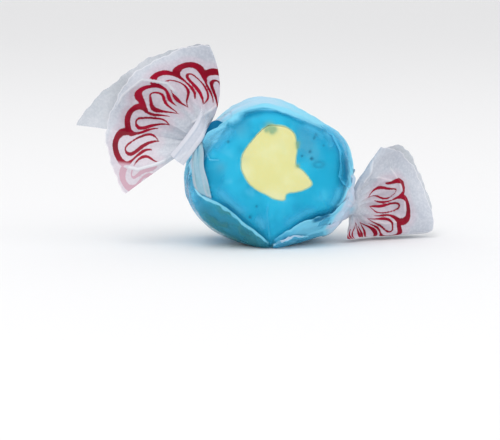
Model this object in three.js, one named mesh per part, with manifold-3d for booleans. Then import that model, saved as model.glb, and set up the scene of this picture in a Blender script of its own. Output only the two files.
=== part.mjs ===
// One piece of salt water taffy in its twisted wax paper.
// A short barrel of blue taffy with a soft yellow centre that runs through it, lying on its round side.
// The paper is one sheet, rolled round the barrel from left to right, gathered and twisted at both ends.
// Millimetres. The origin is the middle of the small flat spot that it rests on, +Z is up,
// the cut face looks along -Y, and the two twisted tails point to -X and +X.

import * as THREE from "three";
import { mergeVertices } from "three/addons/utils/BufferGeometryUtils.js";
import Module from "manifold-3d";

const wasm = await Module();
wasm.setup();

// Sizes of the wrapped body
const BODY_RISE = 11.2; // from the table up to the middle of the body
const HALF_LENGTH = 9.3; // from the middle of the body to its flat front and back
const PAPER_WALL = 0.36; // the sheet, thicker than real paper so that it is a solid
const PAPER_GAP = 0.35; // air between the sheet and the taffy
const CENTRE_GAP = 0.3; // air between the blue taffy and the yellow centre
const PAPER_SHARPNESS = 26; // how crisply the sheet creases where two facets meet
const TAFFY_SHARPNESS = 15; // the soft taffy is rounder than its paper

// The flats of the round side: direction round the barrel in degrees from +X, and distance from its middle
const SIDE_FLATS = [
  [0, 12.8],
  [24, 13.2],
  [61, 11.2],
  [90, 11.85],
  [121, 11.55],
  [141, 11.4],
  [156, 12.2],
  [181, 12.9],
  [219, 12.9],
  [252, 11.7],
  [270, 11.95],
  [288, 11.7],
  [335, 13.2],
];

// The bevels round the front face: direction, distance of the crease from the face's middle, lean in degrees
const FRONT_BEVELS = [
  [178, 11.1, 26],
  [133, 11.0, 22],
  [108, 11.0, 15],
  [68, 9.8, 18],
  [37, 11.3, 26],
  [358, 10.8, 28],
  [304, 8.5, 37],
  [236, 8.5, 37],
];

// The bevels round the back face, which is a plainer round one
const BACK_BEVELS = 8;
const BACK_CREASE = 10.3;
const BACK_CREASE_UNEVEN = 0.6;
const BACK_LEAN = 28;

// The yellow centre's outline on the front face, across and up from the middle of the barrel
const CENTRE_OUTLINE = [
  [-0.6, 8.0],
  [2.4, 7.8],
  [3.9, 6.2],
  [3.8, 2.4],
  [6.1, -0.8],
  [4.7, -1.9],
  [2.6, -2.2],
  [1.8, -3.2],
  [-1.0, -2.4],
  [-3.5, -0.9],
  [-4.8, 2.0],
  [-3.5, 5.4],
];
const CENTRE_TURN = 32; // degrees that the outline turns on its way to the back
const CENTRE_SHIFT = [0.4, -1.6]; // how far it wanders on the way, across and up
const CENTRE_STEPS = 6;
const CENTRE_SIDES = 36;

// The two necks: where the gathered paper leaves the body, measured from the body's middle
const LEFT_NECK = new THREE.Vector3(-9.9, -4.8, 5.4);
const RIGHT_NECK = new THREE.Vector3(12.2, -1.5, -4.9);
const SEAM_SIDE = new THREE.Vector3(0, 1, -0.62); // the sheet's two long edges overlap low at the back
const SEAM_OVERLAP = 0.5; // radians
const SEAM_LIFT = 0.64; // how far the sheet's last stretch stands out over its first
const SEAM_LIFT_TURN = 0.6; // radians over which it rises
const NECK_RADIUS = 1.3; // of the twist at its tightest
const NECK_RISE = 1.3; // from the body's skin out to the tightest place
const GATHER_RADIUS = 5.6; // of the cone of gathered paper on the body's skin
const GATHER_ANGLE = THREE.MathUtils.degToRad(27); // half angle of that cone, seen from the middle
const PLEATS = 9;
const PLEAT_HEIGHT = 0.75;
const PLEAT_ENDS = [0.45, 1.05]; // radians from the neck's way over which a pleat dies out
const PLEAT_STARTS = [0.05, 0.4]; // and over which it rises, beside the neck
const NECK_PULLS = [0.3, 1.3]; // radians over which the sheet's lines stop running to the neck

// The fans beyond the necks: outline as seen from the front, with the angles round the neck in degrees
const LEFT_FAN = {
  heading: 152,
  swing: 8, // degrees that the fan turns towards the front
  fold: 84,
  foldBend: 28, // degrees that the folded side leans over near the neck
  innerEdge: 175,
  outerEdge: 217,
  firstReach: (angle) => 14.6 + 5.3 * ((angle - 100) / 75) ** 2,
  secondReach: (angle) => 12.4 + 3.1 * Math.exp(-(((angle - 190) / 34) ** 2)),
  open: 0.9,
  wave: 1.1,
};
const RIGHT_FAN = {
  heading: -14,
  swing: 25,
  fold: 62,
  foldBend: -7,
  innerEdge: -84,
  outerEdge: -98,
  reach: 16.1,
  reachPerDegree: 0.045, // longer towards the table
  cornerCut: 3.2, // the sheet's corner is turned in beside the fold
  cornerSpan: 6,
  shortBelow: 12, // the part that hangs under the neck is shorter
  firstReach: (angle) => rightReach(angle),
  secondReach: (angle) => rightReach(angle) - 1.4,
  open: 0.9,
  wave: 1.0,
};
const FOLD_CROWDING = 0.18; // the sheet's pleats lie closer together towards the fan's fold
const FOLD_ROUNDNESS = 0.1; // how soon the two layers part beside the fold
const LAYERS_AT_NECK = 0.35; // share of the fan's opening that is there at the neck
const RIPPLES_ROUND = 4.5; // ripples across the fan, for each radian
const RIPPLE_OUTWARD = 7; // phase of the ripples that run along the fan, in radians from neck to edge
const FAN_FLOOR = 0.4; // a fan that would hang lower lies along the table at this height
const TABLE_BEND = 1.1; // how gently it bends there
const TABLE_SLIDE = 0.8; // how far it slides back for each millimetre that it is bent up
const BEND_STARTS = 4; // height above the floor where the bend is no longer felt

// Mesh steps
const BARREL_ROWS = 15;
const BARREL_COLUMNS = 36;
const ROUND_STEPS = 38;
const BODY_ROWS = 15;
const GATHER_ROWS = 4;
const FAN_ROWS = 8;

const FRONT = new THREE.Vector3(0, -1, 0);
const MIDDLE = new THREE.Vector3(0, 0, BODY_RISE);

const degrees = THREE.MathUtils.degToRad;
const smooth = (from, to, value) => THREE.MathUtils.smoothstep(value, from, to);

// Every flat of the body as a unit normal and its distance from the middle.
function bodyFlats() {
  const flats = SIDE_FLATS.map(([turn, reach]) => leaningFlat(turn, 0, reach));
  flats.push({ normal: FRONT.clone(), distance: HALF_LENGTH });
  flats.push({ normal: FRONT.clone().negate(), distance: HALF_LENGTH });
  for (const [turn, crease, lean] of FRONT_BEVELS) flats.push(bevel(turn, crease, lean));
  for (let i = 0; i < BACK_BEVELS; i++) {
    const turn = ((i + 0.5) * 360) / BACK_BEVELS;
    const crease = BACK_CREASE + BACK_CREASE_UNEVEN * Math.cos(3 * i);
    flats.push(bevel(turn, crease, -BACK_LEAN));
  }
  return flats;
}

function leaningFlat(turn, lean, distance) {
  const normal = new THREE.Vector3(
    Math.cos(degrees(turn)) * Math.cos(degrees(lean)),
    -Math.sin(degrees(lean)),
    Math.sin(degrees(turn)) * Math.cos(degrees(lean)),
  );
  return { normal, distance };
}

function bevel(turn, crease, lean) {
  const slope = degrees(Math.abs(lean));
  return leaningFlat(turn, lean, crease * Math.cos(slope) + HALF_LENGTH * Math.sin(slope));
}

const FLATS = bodyFlats();

// How far the body reaches from its middle in one direction, inset from the paper by a given amount.
function reachOf(direction, inset, sharpness) {
  let sum = 0;
  for (const { normal, distance } of FLATS) {
    const along = normal.dot(direction) / (distance - inset);
    if (along > 0) sum += along ** sharpness;
  }
  return sum ** (-1 / sharpness);
}

// How much of the paper in one direction lies on the flat front: 1 on the face, 0 off it.
function onFace(direction) {
  const reach = reachOf(direction, 0, PAPER_SHARPNESS);
  return (Math.max(0, -direction.y * reach) / HALF_LENGTH) ** PAPER_SHARPNESS;
}

// A closed solid from rings of points, with a fan of triangles to one point at each end.
function solidOfRings(rings, first, last) {
  const count = rings[0].length;
  const points = [first, ...rings.flat(), last];
  const faces = [];
  const at = (row, column) => 1 + row * count + (column % count);
  for (let column = 0; column < count; column++) {
    faces.push(0, at(0, column + 1), at(0, column));
    faces.push(points.length - 1, at(rings.length - 1, column), at(rings.length - 1, column + 1));
    for (let row = 0; row + 1 < rings.length; row++) {
      faces.push(at(row, column), at(row, column + 1), at(row + 1, column));
      faces.push(at(row, column + 1), at(row + 1, column + 1), at(row + 1, column));
    }
  }
  return geometryOf(points, faces);
}

function geometryOf(points, faces) {
  const geometry = new THREE.BufferGeometry().setFromPoints(points);
  geometry.setIndex(faces);
  return geometry;
}

function manifoldOf(geometry) {
  const merged = mergeVertices(geometry, 1e-3);
  return new wasm.Manifold(
    new wasm.Mesh({
      numProp: 3,
      vertProperties: new Float32Array(merged.attributes.position.array),
      triVerts: new Uint32Array(merged.index.array),
    }),
  );
}

function geometryFromManifold(solid) {
  const mesh = solid.getMesh();
  const geometry = new THREE.BufferGeometry();
  geometry.setAttribute("position", new THREE.BufferAttribute(mesh.vertProperties, 3));
  geometry.setIndex(new THREE.BufferAttribute(mesh.triVerts, 1));
  return geometry;
}

// The whole barrel of taffy, before the yellow centre is set apart from the blue.
function barrel() {
  const inset = PAPER_WALL / 2 + PAPER_GAP;
  const lowest = PAPER_WALL + PAPER_GAP;
  const point = (tip, turn) => {
    const direction = new THREE.Vector3(
      Math.sin(tip) * Math.cos(turn),
      -Math.cos(tip),
      Math.sin(tip) * Math.sin(turn),
    );
    const found = direction.multiplyScalar(reachOf(direction, inset, TAFFY_SHARPNESS)).add(MIDDLE);
    found.z = Math.max(found.z, lowest);
    return found;
  };
  const rings = [];
  for (let row = 1; row < BARREL_ROWS; row++) {
    const ring = [];
    for (let column = 0; column < BARREL_COLUMNS; column++) {
      ring.push(point((row * Math.PI) / BARREL_ROWS, (-column * 2 * Math.PI) / BARREL_COLUMNS));
    }
    rings.push(ring);
  }
  return solidOfRings(rings, point(0, 0), point(Math.PI, 0));
}

// The yellow centre as a prism through the barrel, wider all round by the given amount.
function centrePrism(wider) {
  const outline = new THREE.CatmullRomCurve3(
    CENTRE_OUTLINE.map(([across, up]) => new THREE.Vector3(across, 0, up)),
    true,
    "centripetal",
  );
  const heart = outline.points.reduce((sum, spot) => sum.add(spot), new THREE.Vector3());
  heart.divideScalar(outline.points.length);
  const flat = [];
  for (let i = 0; i < CENTRE_SIDES; i++) {
    const spot = outline.getPoint(i / CENTRE_SIDES);
    const tangent = outline.getTangent(i / CENTRE_SIDES);
    flat.push(spot.add(new THREE.Vector3(-tangent.z, 0, tangent.x).multiplyScalar(wider)));
  }
  const rings = [];
  for (let step = 0; step <= CENTRE_STEPS; step++) {
    const along = step / CENTRE_STEPS;
    const y = (2 * along - 1) * (HALF_LENGTH + PAPER_WALL);
    rings.push(
      flat.map((spot) => {
        const turned = spot.clone().sub(heart).applyAxisAngle(FRONT, degrees(CENTRE_TURN * along));
        const across = turned.x + heart.x + CENTRE_SHIFT[0] * along;
        const up = turned.z + heart.z + CENTRE_SHIFT[1] * along;
        return new THREE.Vector3(across, y, up + BODY_RISE);
      }),
    );
  }
  return cappedLoft(rings);
}

// A closed solid from equal rings, with each end capped by triangles inside its outline.
function cappedLoft(rings) {
  const count = rings[0].length;
  const points = rings.flat();
  const faces = [];
  for (let row = 0; row + 1 < rings.length; row++) {
    for (let column = 0; column < count; column++) {
      const here = row * count + column;
      const next = row * count + ((column + 1) % count);
      faces.push(here, next, here + count);
      faces.push(next, next + count, here + count);
    }
  }
  const cap = (ring) =>
    THREE.ShapeUtils.triangulateShape(
      ring.map((spot) => new THREE.Vector2(spot.x, spot.z)),
      [],
    );
  const last = (rings.length - 1) * count;
  for (const [a, b, c] of cap(rings[0])) faces.push(a, b, c);
  for (const [a, b, c] of cap(rings[rings.length - 1])) faces.push(last + a, last + c, last + b);
  return geometryOf(points, faces);
}

// The frame of the sheet: the way from neck to neck, and two directions across it, the first at the seam.
const leftWay = LEFT_NECK.clone().normalize();
const rightWay = RIGHT_NECK.clone().normalize();
const throughWay = rightWay.clone().sub(leftWay).normalize();

function acrossTo(way, target) {
  return target.clone().addScaledVector(way, -target.dot(way)).normalize();
}

const seamWay = acrossTo(throughWay, SEAM_SIDE);
const quarterWay = throughWay.clone().cross(seamWay);

// A point of the body's paper: polar angle from the neck's way, and turn round it from the seam.
function bodyPoint(neckWay, polar, turn) {
  const near = 1 - smooth(...NECK_PULLS, polar);
  const first = seamWay.clone().lerp(acrossTo(neckWay, seamWay), near);
  const second = quarterWay.clone().lerp(acrossTo(neckWay, quarterWay), near);
  const direction = neckWay
    .clone()
    .multiplyScalar(Math.cos(polar))
    .addScaledVector(first, Math.sin(polar) * Math.cos(turn))
    .addScaledVector(second, Math.sin(polar) * Math.sin(turn))
    .normalize();
  const rise = pleatRise(neckWay, polar, turn) * (1 - onFace(direction));
  return direction.multiplyScalar(reachOf(direction, 0, PAPER_SHARPNESS) + rise);
}

// The pleats stand up round each neck and die out on the body.
function pleatRise(neckWay, polar, turn) {
  const phase = neckWay === leftWay ? 0.4 : 1.7;
  const uneven = turn + 0.18 * Math.sin(2 * turn + phase) + 0.1 * Math.sin(5 * turn + 2 * phase);
  const ridge = 0.5 + 0.5 * Math.cos(PLEATS * uneven + phase);
  return PLEAT_HEIGHT * ridge * (1 - smooth(...PLEAT_ENDS, polar)) * smooth(...PLEAT_STARTS, polar);
}

// The extra distance outwards that lets the sheet's last stretch lie over its first.
function overlapLift(turn) {
  const risen = 2 * Math.PI - 0.1;
  return SEAM_LIFT * smooth(risen - SEAM_LIFT_TURN, risen, turn);
}

// The right fan's outline: a cut corner near its fold, widest along the table, shorter below the neck.
function rightReach(angle) {
  const corner = RIGHT_FAN.cornerCut * Math.exp((angle - RIGHT_FAN.fold) / RIGHT_FAN.cornerSpan);
  const below = RIGHT_FAN.shortBelow * (1 - smooth(-80, -12, angle));
  return RIGHT_FAN.reach - RIGHT_FAN.reachPerDegree * angle - corner - below;
}

// The fan's own directions: outwards, towards its fold, and from its first layer to its second.
function fanFrame(fan, side) {
  const up = new THREE.Vector3(0, 0, 1);
  const across = new THREE.Vector3(1, 0, 0).applyAxisAngle(up, degrees(side * fan.swing));
  const back = up.clone().cross(across);
  const flat = (angle) =>
    across
      .clone()
      .multiplyScalar(Math.cos(degrees(angle)))
      .addScaledVector(up, Math.sin(degrees(angle)));
  return { back, flat, outward: flat(fan.heading) };
}

// The rows of points of one end of the sheet, from the body out to the fan's cut edge.
function endRows(neckPoint, fan, side, turns) {
  const neckWay = neckPoint.clone().normalize();
  const key = side < 0 ? leftWay : rightWay;
  const frame = fanFrame(fan, side);
  const skin = reachOf(neckWay, 0, PAPER_SHARPNESS);
  const first = acrossTo(neckWay, seamWay);
  const second = acrossTo(neckWay, quarterWay);
  const foldWay = acrossTo(frame.outward, frame.flat(fan.fold));
  const start = foldWay.clone().negate();
  const startAngle = Math.atan2(start.dot(second), start.dot(first));
  const tip = neckWay.clone().multiplyScalar(skin + NECK_RISE);
  const rows = [];
  for (let row = 1; row <= GATHER_ROWS; row++) {
    const way = row / GATHER_ROWS;
    rows.push(
      turns.map((turn) => {
        const onBody = bodyPoint(key, GATHER_ANGLE * (1 - 0.75 * way), turn);
        const twisted = turn + startAngle * way;
        const radius = THREE.MathUtils.lerp(GATHER_RADIUS, NECK_RADIUS, way ** 0.6) + overlapLift(turn);
        const onNeck = neckWay
          .clone()
          .multiplyScalar(skin + NECK_RISE * way ** 1.6)
          .addScaledVector(first, radius * Math.cos(twisted))
          .addScaledVector(second, radius * Math.sin(twisted));
        return onBody.lerp(onNeck, smooth(0, 0.75, way));
      }),
    );
  }
  for (let row = 1; row <= FAN_ROWS; row++) {
    const way = row / FAN_ROWS;
    rows.push(turns.map((turn) => fanPoint(fan, frame, tip, foldWay, turn, way)));
  }
  return rows.map((points) => points.map((spot) => spot.add(MIDDLE)));
}

function fanPoint(fan, frame, tip, foldWay, turn, way) {
  const whole = 2 * Math.PI + SEAM_OVERLAP;
  const share = (2 * turn) / whole;
  const firstLayer = share < 1;
  const fromFold = Math.abs(1 - share);
  const spread = ((1 + FOLD_CROWDING) * fromFold ** 2) / (fromFold + FOLD_CROWDING);
  const edge = firstLayer ? fan.innerEdge : fan.outerEdge;
  const angle = fan.fold + (edge - fan.fold) * spread;
  const bent = angle - fan.foldBend * (1 - way) * (1 - spread);
  const full = THREE.MathUtils.lerp(
    fan.firstReach(fan.fold),
    firstLayer ? fan.firstReach(angle) : fan.secondReach(angle),
    smooth(0, 0.35, fromFold),
  );
  const side = firstLayer ? 1 : -1;
  const layer = (side * (1 + FOLD_ROUNDNESS) * fromFold) / (fromFold + FOLD_ROUNDNESS);
  const acrossRipple = way * Math.sin(degrees(angle) * RIPPLES_ROUND);
  const outwardRipple = 0.5 * Math.sin(way * RIPPLE_OUTWARD + 2 * degrees(angle));
  const opened = fan.open * layer * THREE.MathUtils.lerp(LAYERS_AT_NECK, 1, way);
  const depth = opened + fan.wave * way * (acrossRipple + outwardRipple);
  const spot = tip
    .clone()
    .addScaledVector(frame.flat(bent), full * way ** 1.15)
    .addScaledVector(frame.back, depth);
  const ring = NECK_RADIUS * (1 - way) ** 2;
  const around = 2 * Math.PI * (turn / whole);
  spot.addScaledVector(foldWay, -ring * Math.cos(around));
  spot.addScaledVector(frame.back, ring * Math.sin(around));
  return layOnTable(spot, frame);
}

// Where the fan would go through the table it bends and lies along it.
function layOnTable(spot, frame) {
  const height = spot.z + BODY_RISE - FAN_FLOOR;
  if (height > BEND_STARTS) return spot;
  const lifted = 0.5 * (height + Math.hypot(height, TABLE_BEND));
  const extra = lifted - height;
  spot.z += extra;
  return spot.addScaledVector(frame.back, extra * TABLE_SLIDE);
}

// The middle surface of the whole sheet, from the left fan's cut edge to the right fan's.
function sheetRows() {
  const turns = [];
  for (let i = 0; i <= ROUND_STEPS; i++) turns.push((i * (2 * Math.PI + SEAM_OVERLAP)) / ROUND_STEPS);
  const left = endRows(LEFT_NECK, LEFT_FAN, -1, turns).reverse();
  const right = endRows(RIGHT_NECK, RIGHT_FAN, 1, turns);
  const body = [];
  for (let row = 0; row <= BODY_ROWS; row++) {
    const polar = GATHER_ANGLE + ((Math.PI - 2 * GATHER_ANGLE) * row) / BODY_ROWS;
    const onLeft = polar < Math.PI / 2;
    body.push(
      turns.map((turn) => {
        const spot = bodyPoint(onLeft ? leftWay : rightWay, onLeft ? polar : Math.PI - polar, turn);
        return spot.setLength(spot.length() + overlapLift(turn)).add(MIDDLE);
      }),
    );
  }
  return [...left, ...body, ...right];
}

// The sheet as a solid: the middle surface moved half a wall to each side, closed round its edges.
function paperSheet() {
  const rows = sheetRows();
  const rowCount = rows.length;
  const columnCount = rows[0].length;
  const points = [];
  const at = (row, column) => {
    const nearRow = THREE.MathUtils.clamp(row, 0, rowCount - 1);
    return rows[nearRow][THREE.MathUtils.clamp(column, 0, columnCount - 1)];
  };
  const skin = (side, lowest) => {
    for (let row = 0; row < rowCount; row++) {
      for (let column = 0; column < columnCount; column++) {
        const along = at(row + 1, column).clone().sub(at(row - 1, column));
        const round = at(row, column + 1).clone().sub(at(row, column - 1));
        const outward = round.cross(along).normalize();
        const spot = at(row, column).clone().addScaledVector(outward, (side * PAPER_WALL) / 2);
        spot.z = Math.max(spot.z, lowest);
        points.push(spot);
      }
    }
  };
  skin(1, 0);
  skin(-1, PAPER_WALL);
  const outer = (row, column) => row * columnCount + column;
  const inner = (row, column) => (rowCount + row) * columnCount + column;
  const faces = [];
  const quad = (a, b, c, d) => faces.push(a, b, c, a, c, d);
  for (let row = 0; row + 1 < rowCount; row++) {
    for (let column = 0; column + 1 < columnCount; column++) {
      quad(outer(row, column), outer(row, column + 1), outer(row + 1, column + 1), outer(row + 1, column));
      quad(inner(row, column), inner(row + 1, column), inner(row + 1, column + 1), inner(row, column + 1));
    }
    quad(outer(row, 0), outer(row + 1, 0), inner(row + 1, 0), inner(row, 0));
    const last = columnCount - 1;
    quad(outer(row + 1, last), outer(row, last), inner(row, last), inner(row + 1, last));
  }
  for (let column = 0; column + 1 < columnCount; column++) {
    quad(outer(0, column + 1), outer(0, column), inner(0, column), inner(0, column + 1));
    const last = rowCount - 1;
    quad(outer(last, column), outer(last, column + 1), inner(last, column + 1), inner(last, column));
  }
  return geometryOf(points, faces);
}

function named(name, geometry, material) {
  const mesh = new THREE.Mesh(geometry, material);
  mesh.name = name;
  return mesh;
}

const whole = manifoldOf(barrel());
const blueTaffy = whole.subtract(manifoldOf(centrePrism(CENTRE_GAP)));
const yellowCentre = whole.intersect(manifoldOf(centrePrism(0)));

const blue = new THREE.MeshStandardMaterial({ color: 0x35aedb, roughness: 0.5, metalness: 0 });
const yellow = new THREE.MeshStandardMaterial({ color: 0xf0eb9a, roughness: 0.5, metalness: 0 });
const waxPaper = new THREE.MeshStandardMaterial({
  color: 0xdcdfe6,
  roughness: 0.4,
  metalness: 0,
  transparent: true,
  opacity: 0.5,
});

const taffy = new THREE.Group();
taffy.add(named("blue_taffy", geometryFromManifold(blueTaffy), blue));
taffy.add(named("yellow_centre", geometryFromManifold(yellowCentre), yellow));
taffy.add(named("wax_wrapper", paperSheet(), waxPaper));

export default taffy;
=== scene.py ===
import math

import bpy
import numpy as np
from mathutils import Matrix, Vector


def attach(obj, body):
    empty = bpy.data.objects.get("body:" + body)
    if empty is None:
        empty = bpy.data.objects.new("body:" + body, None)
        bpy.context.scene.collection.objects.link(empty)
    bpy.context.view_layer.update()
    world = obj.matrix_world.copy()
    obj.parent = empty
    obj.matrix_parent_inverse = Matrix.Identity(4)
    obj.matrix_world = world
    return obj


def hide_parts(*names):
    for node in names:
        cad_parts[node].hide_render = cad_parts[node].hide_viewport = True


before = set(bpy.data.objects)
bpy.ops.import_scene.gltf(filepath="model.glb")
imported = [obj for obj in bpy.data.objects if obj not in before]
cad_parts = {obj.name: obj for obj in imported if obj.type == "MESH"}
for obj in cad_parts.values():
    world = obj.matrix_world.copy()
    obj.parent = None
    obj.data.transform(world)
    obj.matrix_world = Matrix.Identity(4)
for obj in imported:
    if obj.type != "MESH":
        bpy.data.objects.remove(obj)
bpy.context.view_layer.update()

# The view: the candy is seen a little from above, almost square on to its cut face, from 30 cm away.
# The picture is 500 by 440 px, and the middle of the candy's body stands at one pixel of it.
MM = 0.001
PICTURE_WIDTH = 500
PICTURE_HEIGHT = 440
BODY_PIXEL = (267.5, 172.5)
PIXELS_PER_MM = 6.26
BODY_RISE = 11.2
VIEW_AZIMUTH = math.radians(-5)
VIEW_ELEVATION = math.radians(7)
VIEW_DISTANCE = 300
SENSOR_WIDTH = 36

back_of_camera = np.array([
    math.sin(VIEW_AZIMUTH) * math.cos(VIEW_ELEVATION),
    -math.cos(VIEW_AZIMUTH) * math.cos(VIEW_ELEVATION),
    math.sin(VIEW_ELEVATION),
])
right_of_camera = np.array([math.cos(VIEW_AZIMUTH), math.sin(VIEW_AZIMUTH), 0.0])
up_of_camera = np.cross(back_of_camera, right_of_camera)
camera_place = (
    np.array([0.0, 0.0, BODY_RISE])
    + back_of_camera * VIEW_DISTANCE
    - right_of_camera * (BODY_PIXEL[0] - PICTURE_WIDTH / 2) / PIXELS_PER_MM
    + up_of_camera * (BODY_PIXEL[1] - PICTURE_HEIGHT / 2) / PIXELS_PER_MM
)

camera_data = bpy.data.cameras.new("camera")
camera_data.sensor_fit = "HORIZONTAL"
camera_data.sensor_width = SENSOR_WIDTH
camera_data.lens = SENSOR_WIDTH * PIXELS_PER_MM * VIEW_DISTANCE / PICTURE_WIDTH
camera_data.clip_start = 0.01
camera = bpy.data.objects.new("camera", camera_data)
axes = Matrix([right_of_camera, up_of_camera, back_of_camera]).transposed()
camera.matrix_world = Matrix.Translation(Vector(camera_place) * MM) @ axes.to_4x4()
bpy.context.scene.collection.objects.link(camera)
bpy.context.scene.camera = camera
bpy.context.scene.view_settings.view_transform = "Standard"


# The floor: a wide plain white board, so far across that its edge is never seen.
# It is matt, and fades into the white surround.
FLOOR_RADIUS = 14.0
FLOOR_SIDES = 96
FLOOR_COLOUR = (0.86, 0.86, 0.87, 1)
FLOOR_ROUGHNESS = 0.9

floor_data = bpy.data.meshes.new("floor")
floor_turns = [2 * math.pi * i / FLOOR_SIDES for i in range(FLOOR_SIDES)]
floor_ring = [(FLOOR_RADIUS * math.cos(turn), FLOOR_RADIUS * math.sin(turn), 0.0) for turn in floor_turns]
floor_data.from_pydata(floor_ring, [], [range(FLOOR_SIDES)])
floor = bpy.data.objects.new("floor", floor_data)
bpy.context.scene.collection.objects.link(floor)
floor_paint = bpy.data.materials.new("floor_white")
floor_paint.use_nodes = True
floor_shader = floor_paint.node_tree.nodes["Principled BSDF"]
floor_shader.inputs["Base Color"].default_value = FLOOR_COLOUR
floor_shader.inputs["Roughness"].default_value = FLOOR_ROUGHNESS
floor_data.materials.append(floor_paint)


# The light: a white room all round, and one large soft window above the front left.
# A second soft light from the right keeps that side clear.
ROOM_STRENGTH = 0.9


def soft_light(name, place, size, power):
    """A round lamp, placed and sized in metres and rated in watts, that faces the candy."""
    light_data = bpy.data.lights.new(name, "AREA")
    light_data.shape = "DISK"
    light_data.size = size
    light_data.energy = power
    light = bpy.data.objects.new(name, light_data)
    light.location = place
    aim = Vector((0, 0, BODY_RISE * MM)) - light.location
    light.rotation_euler = aim.to_track_quat("-Z", "Y").to_euler()
    bpy.context.scene.collection.objects.link(light)


soft_light("window", place=(-0.25, -0.45, 0.75), size=0.6, power=2.2)
soft_light("fill", place=(0.6, -0.35, 0.35), size=0.5, power=0.6)
room = bpy.data.worlds.new("white_room")
room.use_nodes = True
surround = room.node_tree.nodes["Background"]
surround.inputs["Color"].default_value = (1, 1, 1, 1)
surround.inputs["Strength"].default_value = ROOM_STRENGTH
bpy.context.scene.world = room


# The yellow centre: a soft rope of pulled sugar that was laid in the middle before the taffy was rolled.
# It was cut with the blue round it, so that it shows at both ends as a lopsided patch.
HALF_LENGTH = 9.3
# The body's flat sides: the way each one faces, in degrees from the right, and its distance in mm.
SIDE_FLATS = [
    (0, 12.8), (24, 13.2), (61, 11.2), (90, 11.85), (121, 11.55), (141, 11.4), (156, 12.2),
    (181, 12.9), (219, 12.9), (252, 11.7), (270, 11.95), (288, 11.7), (335, 13.2),
]
# The bevels round the front face: the way each one faces, how far out it begins, and its lean in degrees.
FRONT_BEVELS = [
    (178, 11.1, 26), (133, 11.0, 22), (108, 11.0, 15), (68, 9.8, 18),
    (37, 11.3, 26), (358, 10.8, 28), (304, 8.5, 37), (236, 8.5, 37),
]
BACK_BEVELS = 8
BACK_CREASE = 10.3
BACK_CREASE_UNEVEN = 0.6
BACK_LEAN = 28
TAFFY_INSET = 0.07
TAFFY_SHARPNESS = 15
TAFFY_FLOOR = 0.12
# The yellow patch on the front face: mm across and up from the body's middle.
CENTRE_OUTLINE = [
    (-1.0, 8.1), (0.7, 8.2), (2.3, 7.8), (3.35, 6.7), (3.7, 4.5), (3.5, 2.2), (4.75, 0.95), (6.05, -0.9),
    (4.5, -1.95), (2.2, -2.4), (1.7, -3.35), (0.3, -3.25), (-1.3, -2.45), (-3.4, -1.15), (-4.55, 0.55),
    (-5.0, 2.1), (-4.6, 4.0), (-3.2, 6.0),
]
OUTLINE_STEPS = 16
# Along the candy the patch turns by so many degrees, and moves by so many mm.
CENTRE_TURN = 32
CENTRE_SHIFT = (0.4, -1.6)
CANDY_COLUMNS = 360
CAP_ROWS = 40
WALL_ROWS = 12
# The yellow stops short of its outline by this share, so that the two skins don't cross.
CORE_SINK = 0.004
POINTS_AT_ONCE = 4000
YELLOW = (0.840, 0.765, 0.290)
YELLOW_PALE = (0.880, 0.830, 0.420)
GREEN_EDGE = (0.420, 0.680, 0.420)
GREEN_SPOT = (0.240, 0.415, 0.200)
BLUE = (0.016, 0.478, 0.722)
BLUE_PALE = (0.090, 0.560, 0.790)
BLUE_DEEP = (0.003, 0.345, 0.565)
BLUE_DULL = (0.085, 0.370, 0.540)
BLUE_RICH = (0.000, 0.385, 0.610)
# The painted shade in the pits and round the rim of the burst bubble.
PIT_SHADE_BLUE = (0.005, 0.120, 0.230)


def flat_normal(turn, lean):
    """The way that faces so many degrees round from the right, and leans so many to the front."""
    turn, lean = math.radians(turn), math.radians(lean)
    return (math.cos(turn) * math.cos(lean), -math.sin(lean), math.sin(turn) * math.cos(lean))


def bevel_flat(turn, crease, lean):
    """A leaning flat that meets the end of the barrel so many mm out."""
    slope = math.radians(abs(lean))
    return flat_normal(turn, lean), crease * math.cos(slope) + HALF_LENGTH * math.sin(slope)


flats = [(flat_normal(turn, 0), reach) for turn, reach in SIDE_FLATS]
flats += [((0, -1, 0), HALF_LENGTH), ((0, 1, 0), HALF_LENGTH)]
flats += [bevel_flat(*bevel) for bevel in FRONT_BEVELS]
for back_bevel in range(BACK_BEVELS):
    back_crease = BACK_CREASE + BACK_CREASE_UNEVEN * math.cos(3 * back_bevel)
    flats.append(bevel_flat((back_bevel + 0.5) * 360 / BACK_BEVELS, back_crease, -BACK_LEAN))
FLAT_NORMALS = np.array([normal for normal, _ in flats])
FLAT_DISTANCES = np.array([distance for _, distance in flats])


def reach_of(direction, inset, sharpness):
    """How far the body reaches from its middle along each unit direction, inset by so many mm."""
    along = np.maximum(direction @ FLAT_NORMALS.T, 0) / (FLAT_DISTANCES - inset)
    return np.sum(along ** sharpness, axis=-1) ** (-1 / sharpness)


def curve(corners, steps):
    """A smooth line from the second corner to the last but one, in so many steps from each to the next."""
    share = np.linspace(0, 1, steps, endpoint=False)[:, None]
    stretches = []
    for a, b, c, d in zip(corners, corners[1:], corners[2:], corners[3:]):
        bend = 2 * a - 5 * b + 4 * c - d + share * (3 * (b - c) + d - a)
        stretches.append(b + 0.5 * share * (c - a + share * bend))
    return np.concatenate(stretches)


def nearest(points, line, half_widths=0):
    """How far each point of the plane lies outside a densely sampled line of some half width."""
    flat_points = points.reshape(-1, 2)
    found = [
        np.min(np.sqrt(np.sum((part[:, None] - line) ** 2, axis=-1)) - half_widths, axis=1)
        for part in np.array_split(flat_points, math.ceil(len(flat_points) / POINTS_AT_ONCE))
    ]
    return np.concatenate(found).reshape(points.shape[:-1])


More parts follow.
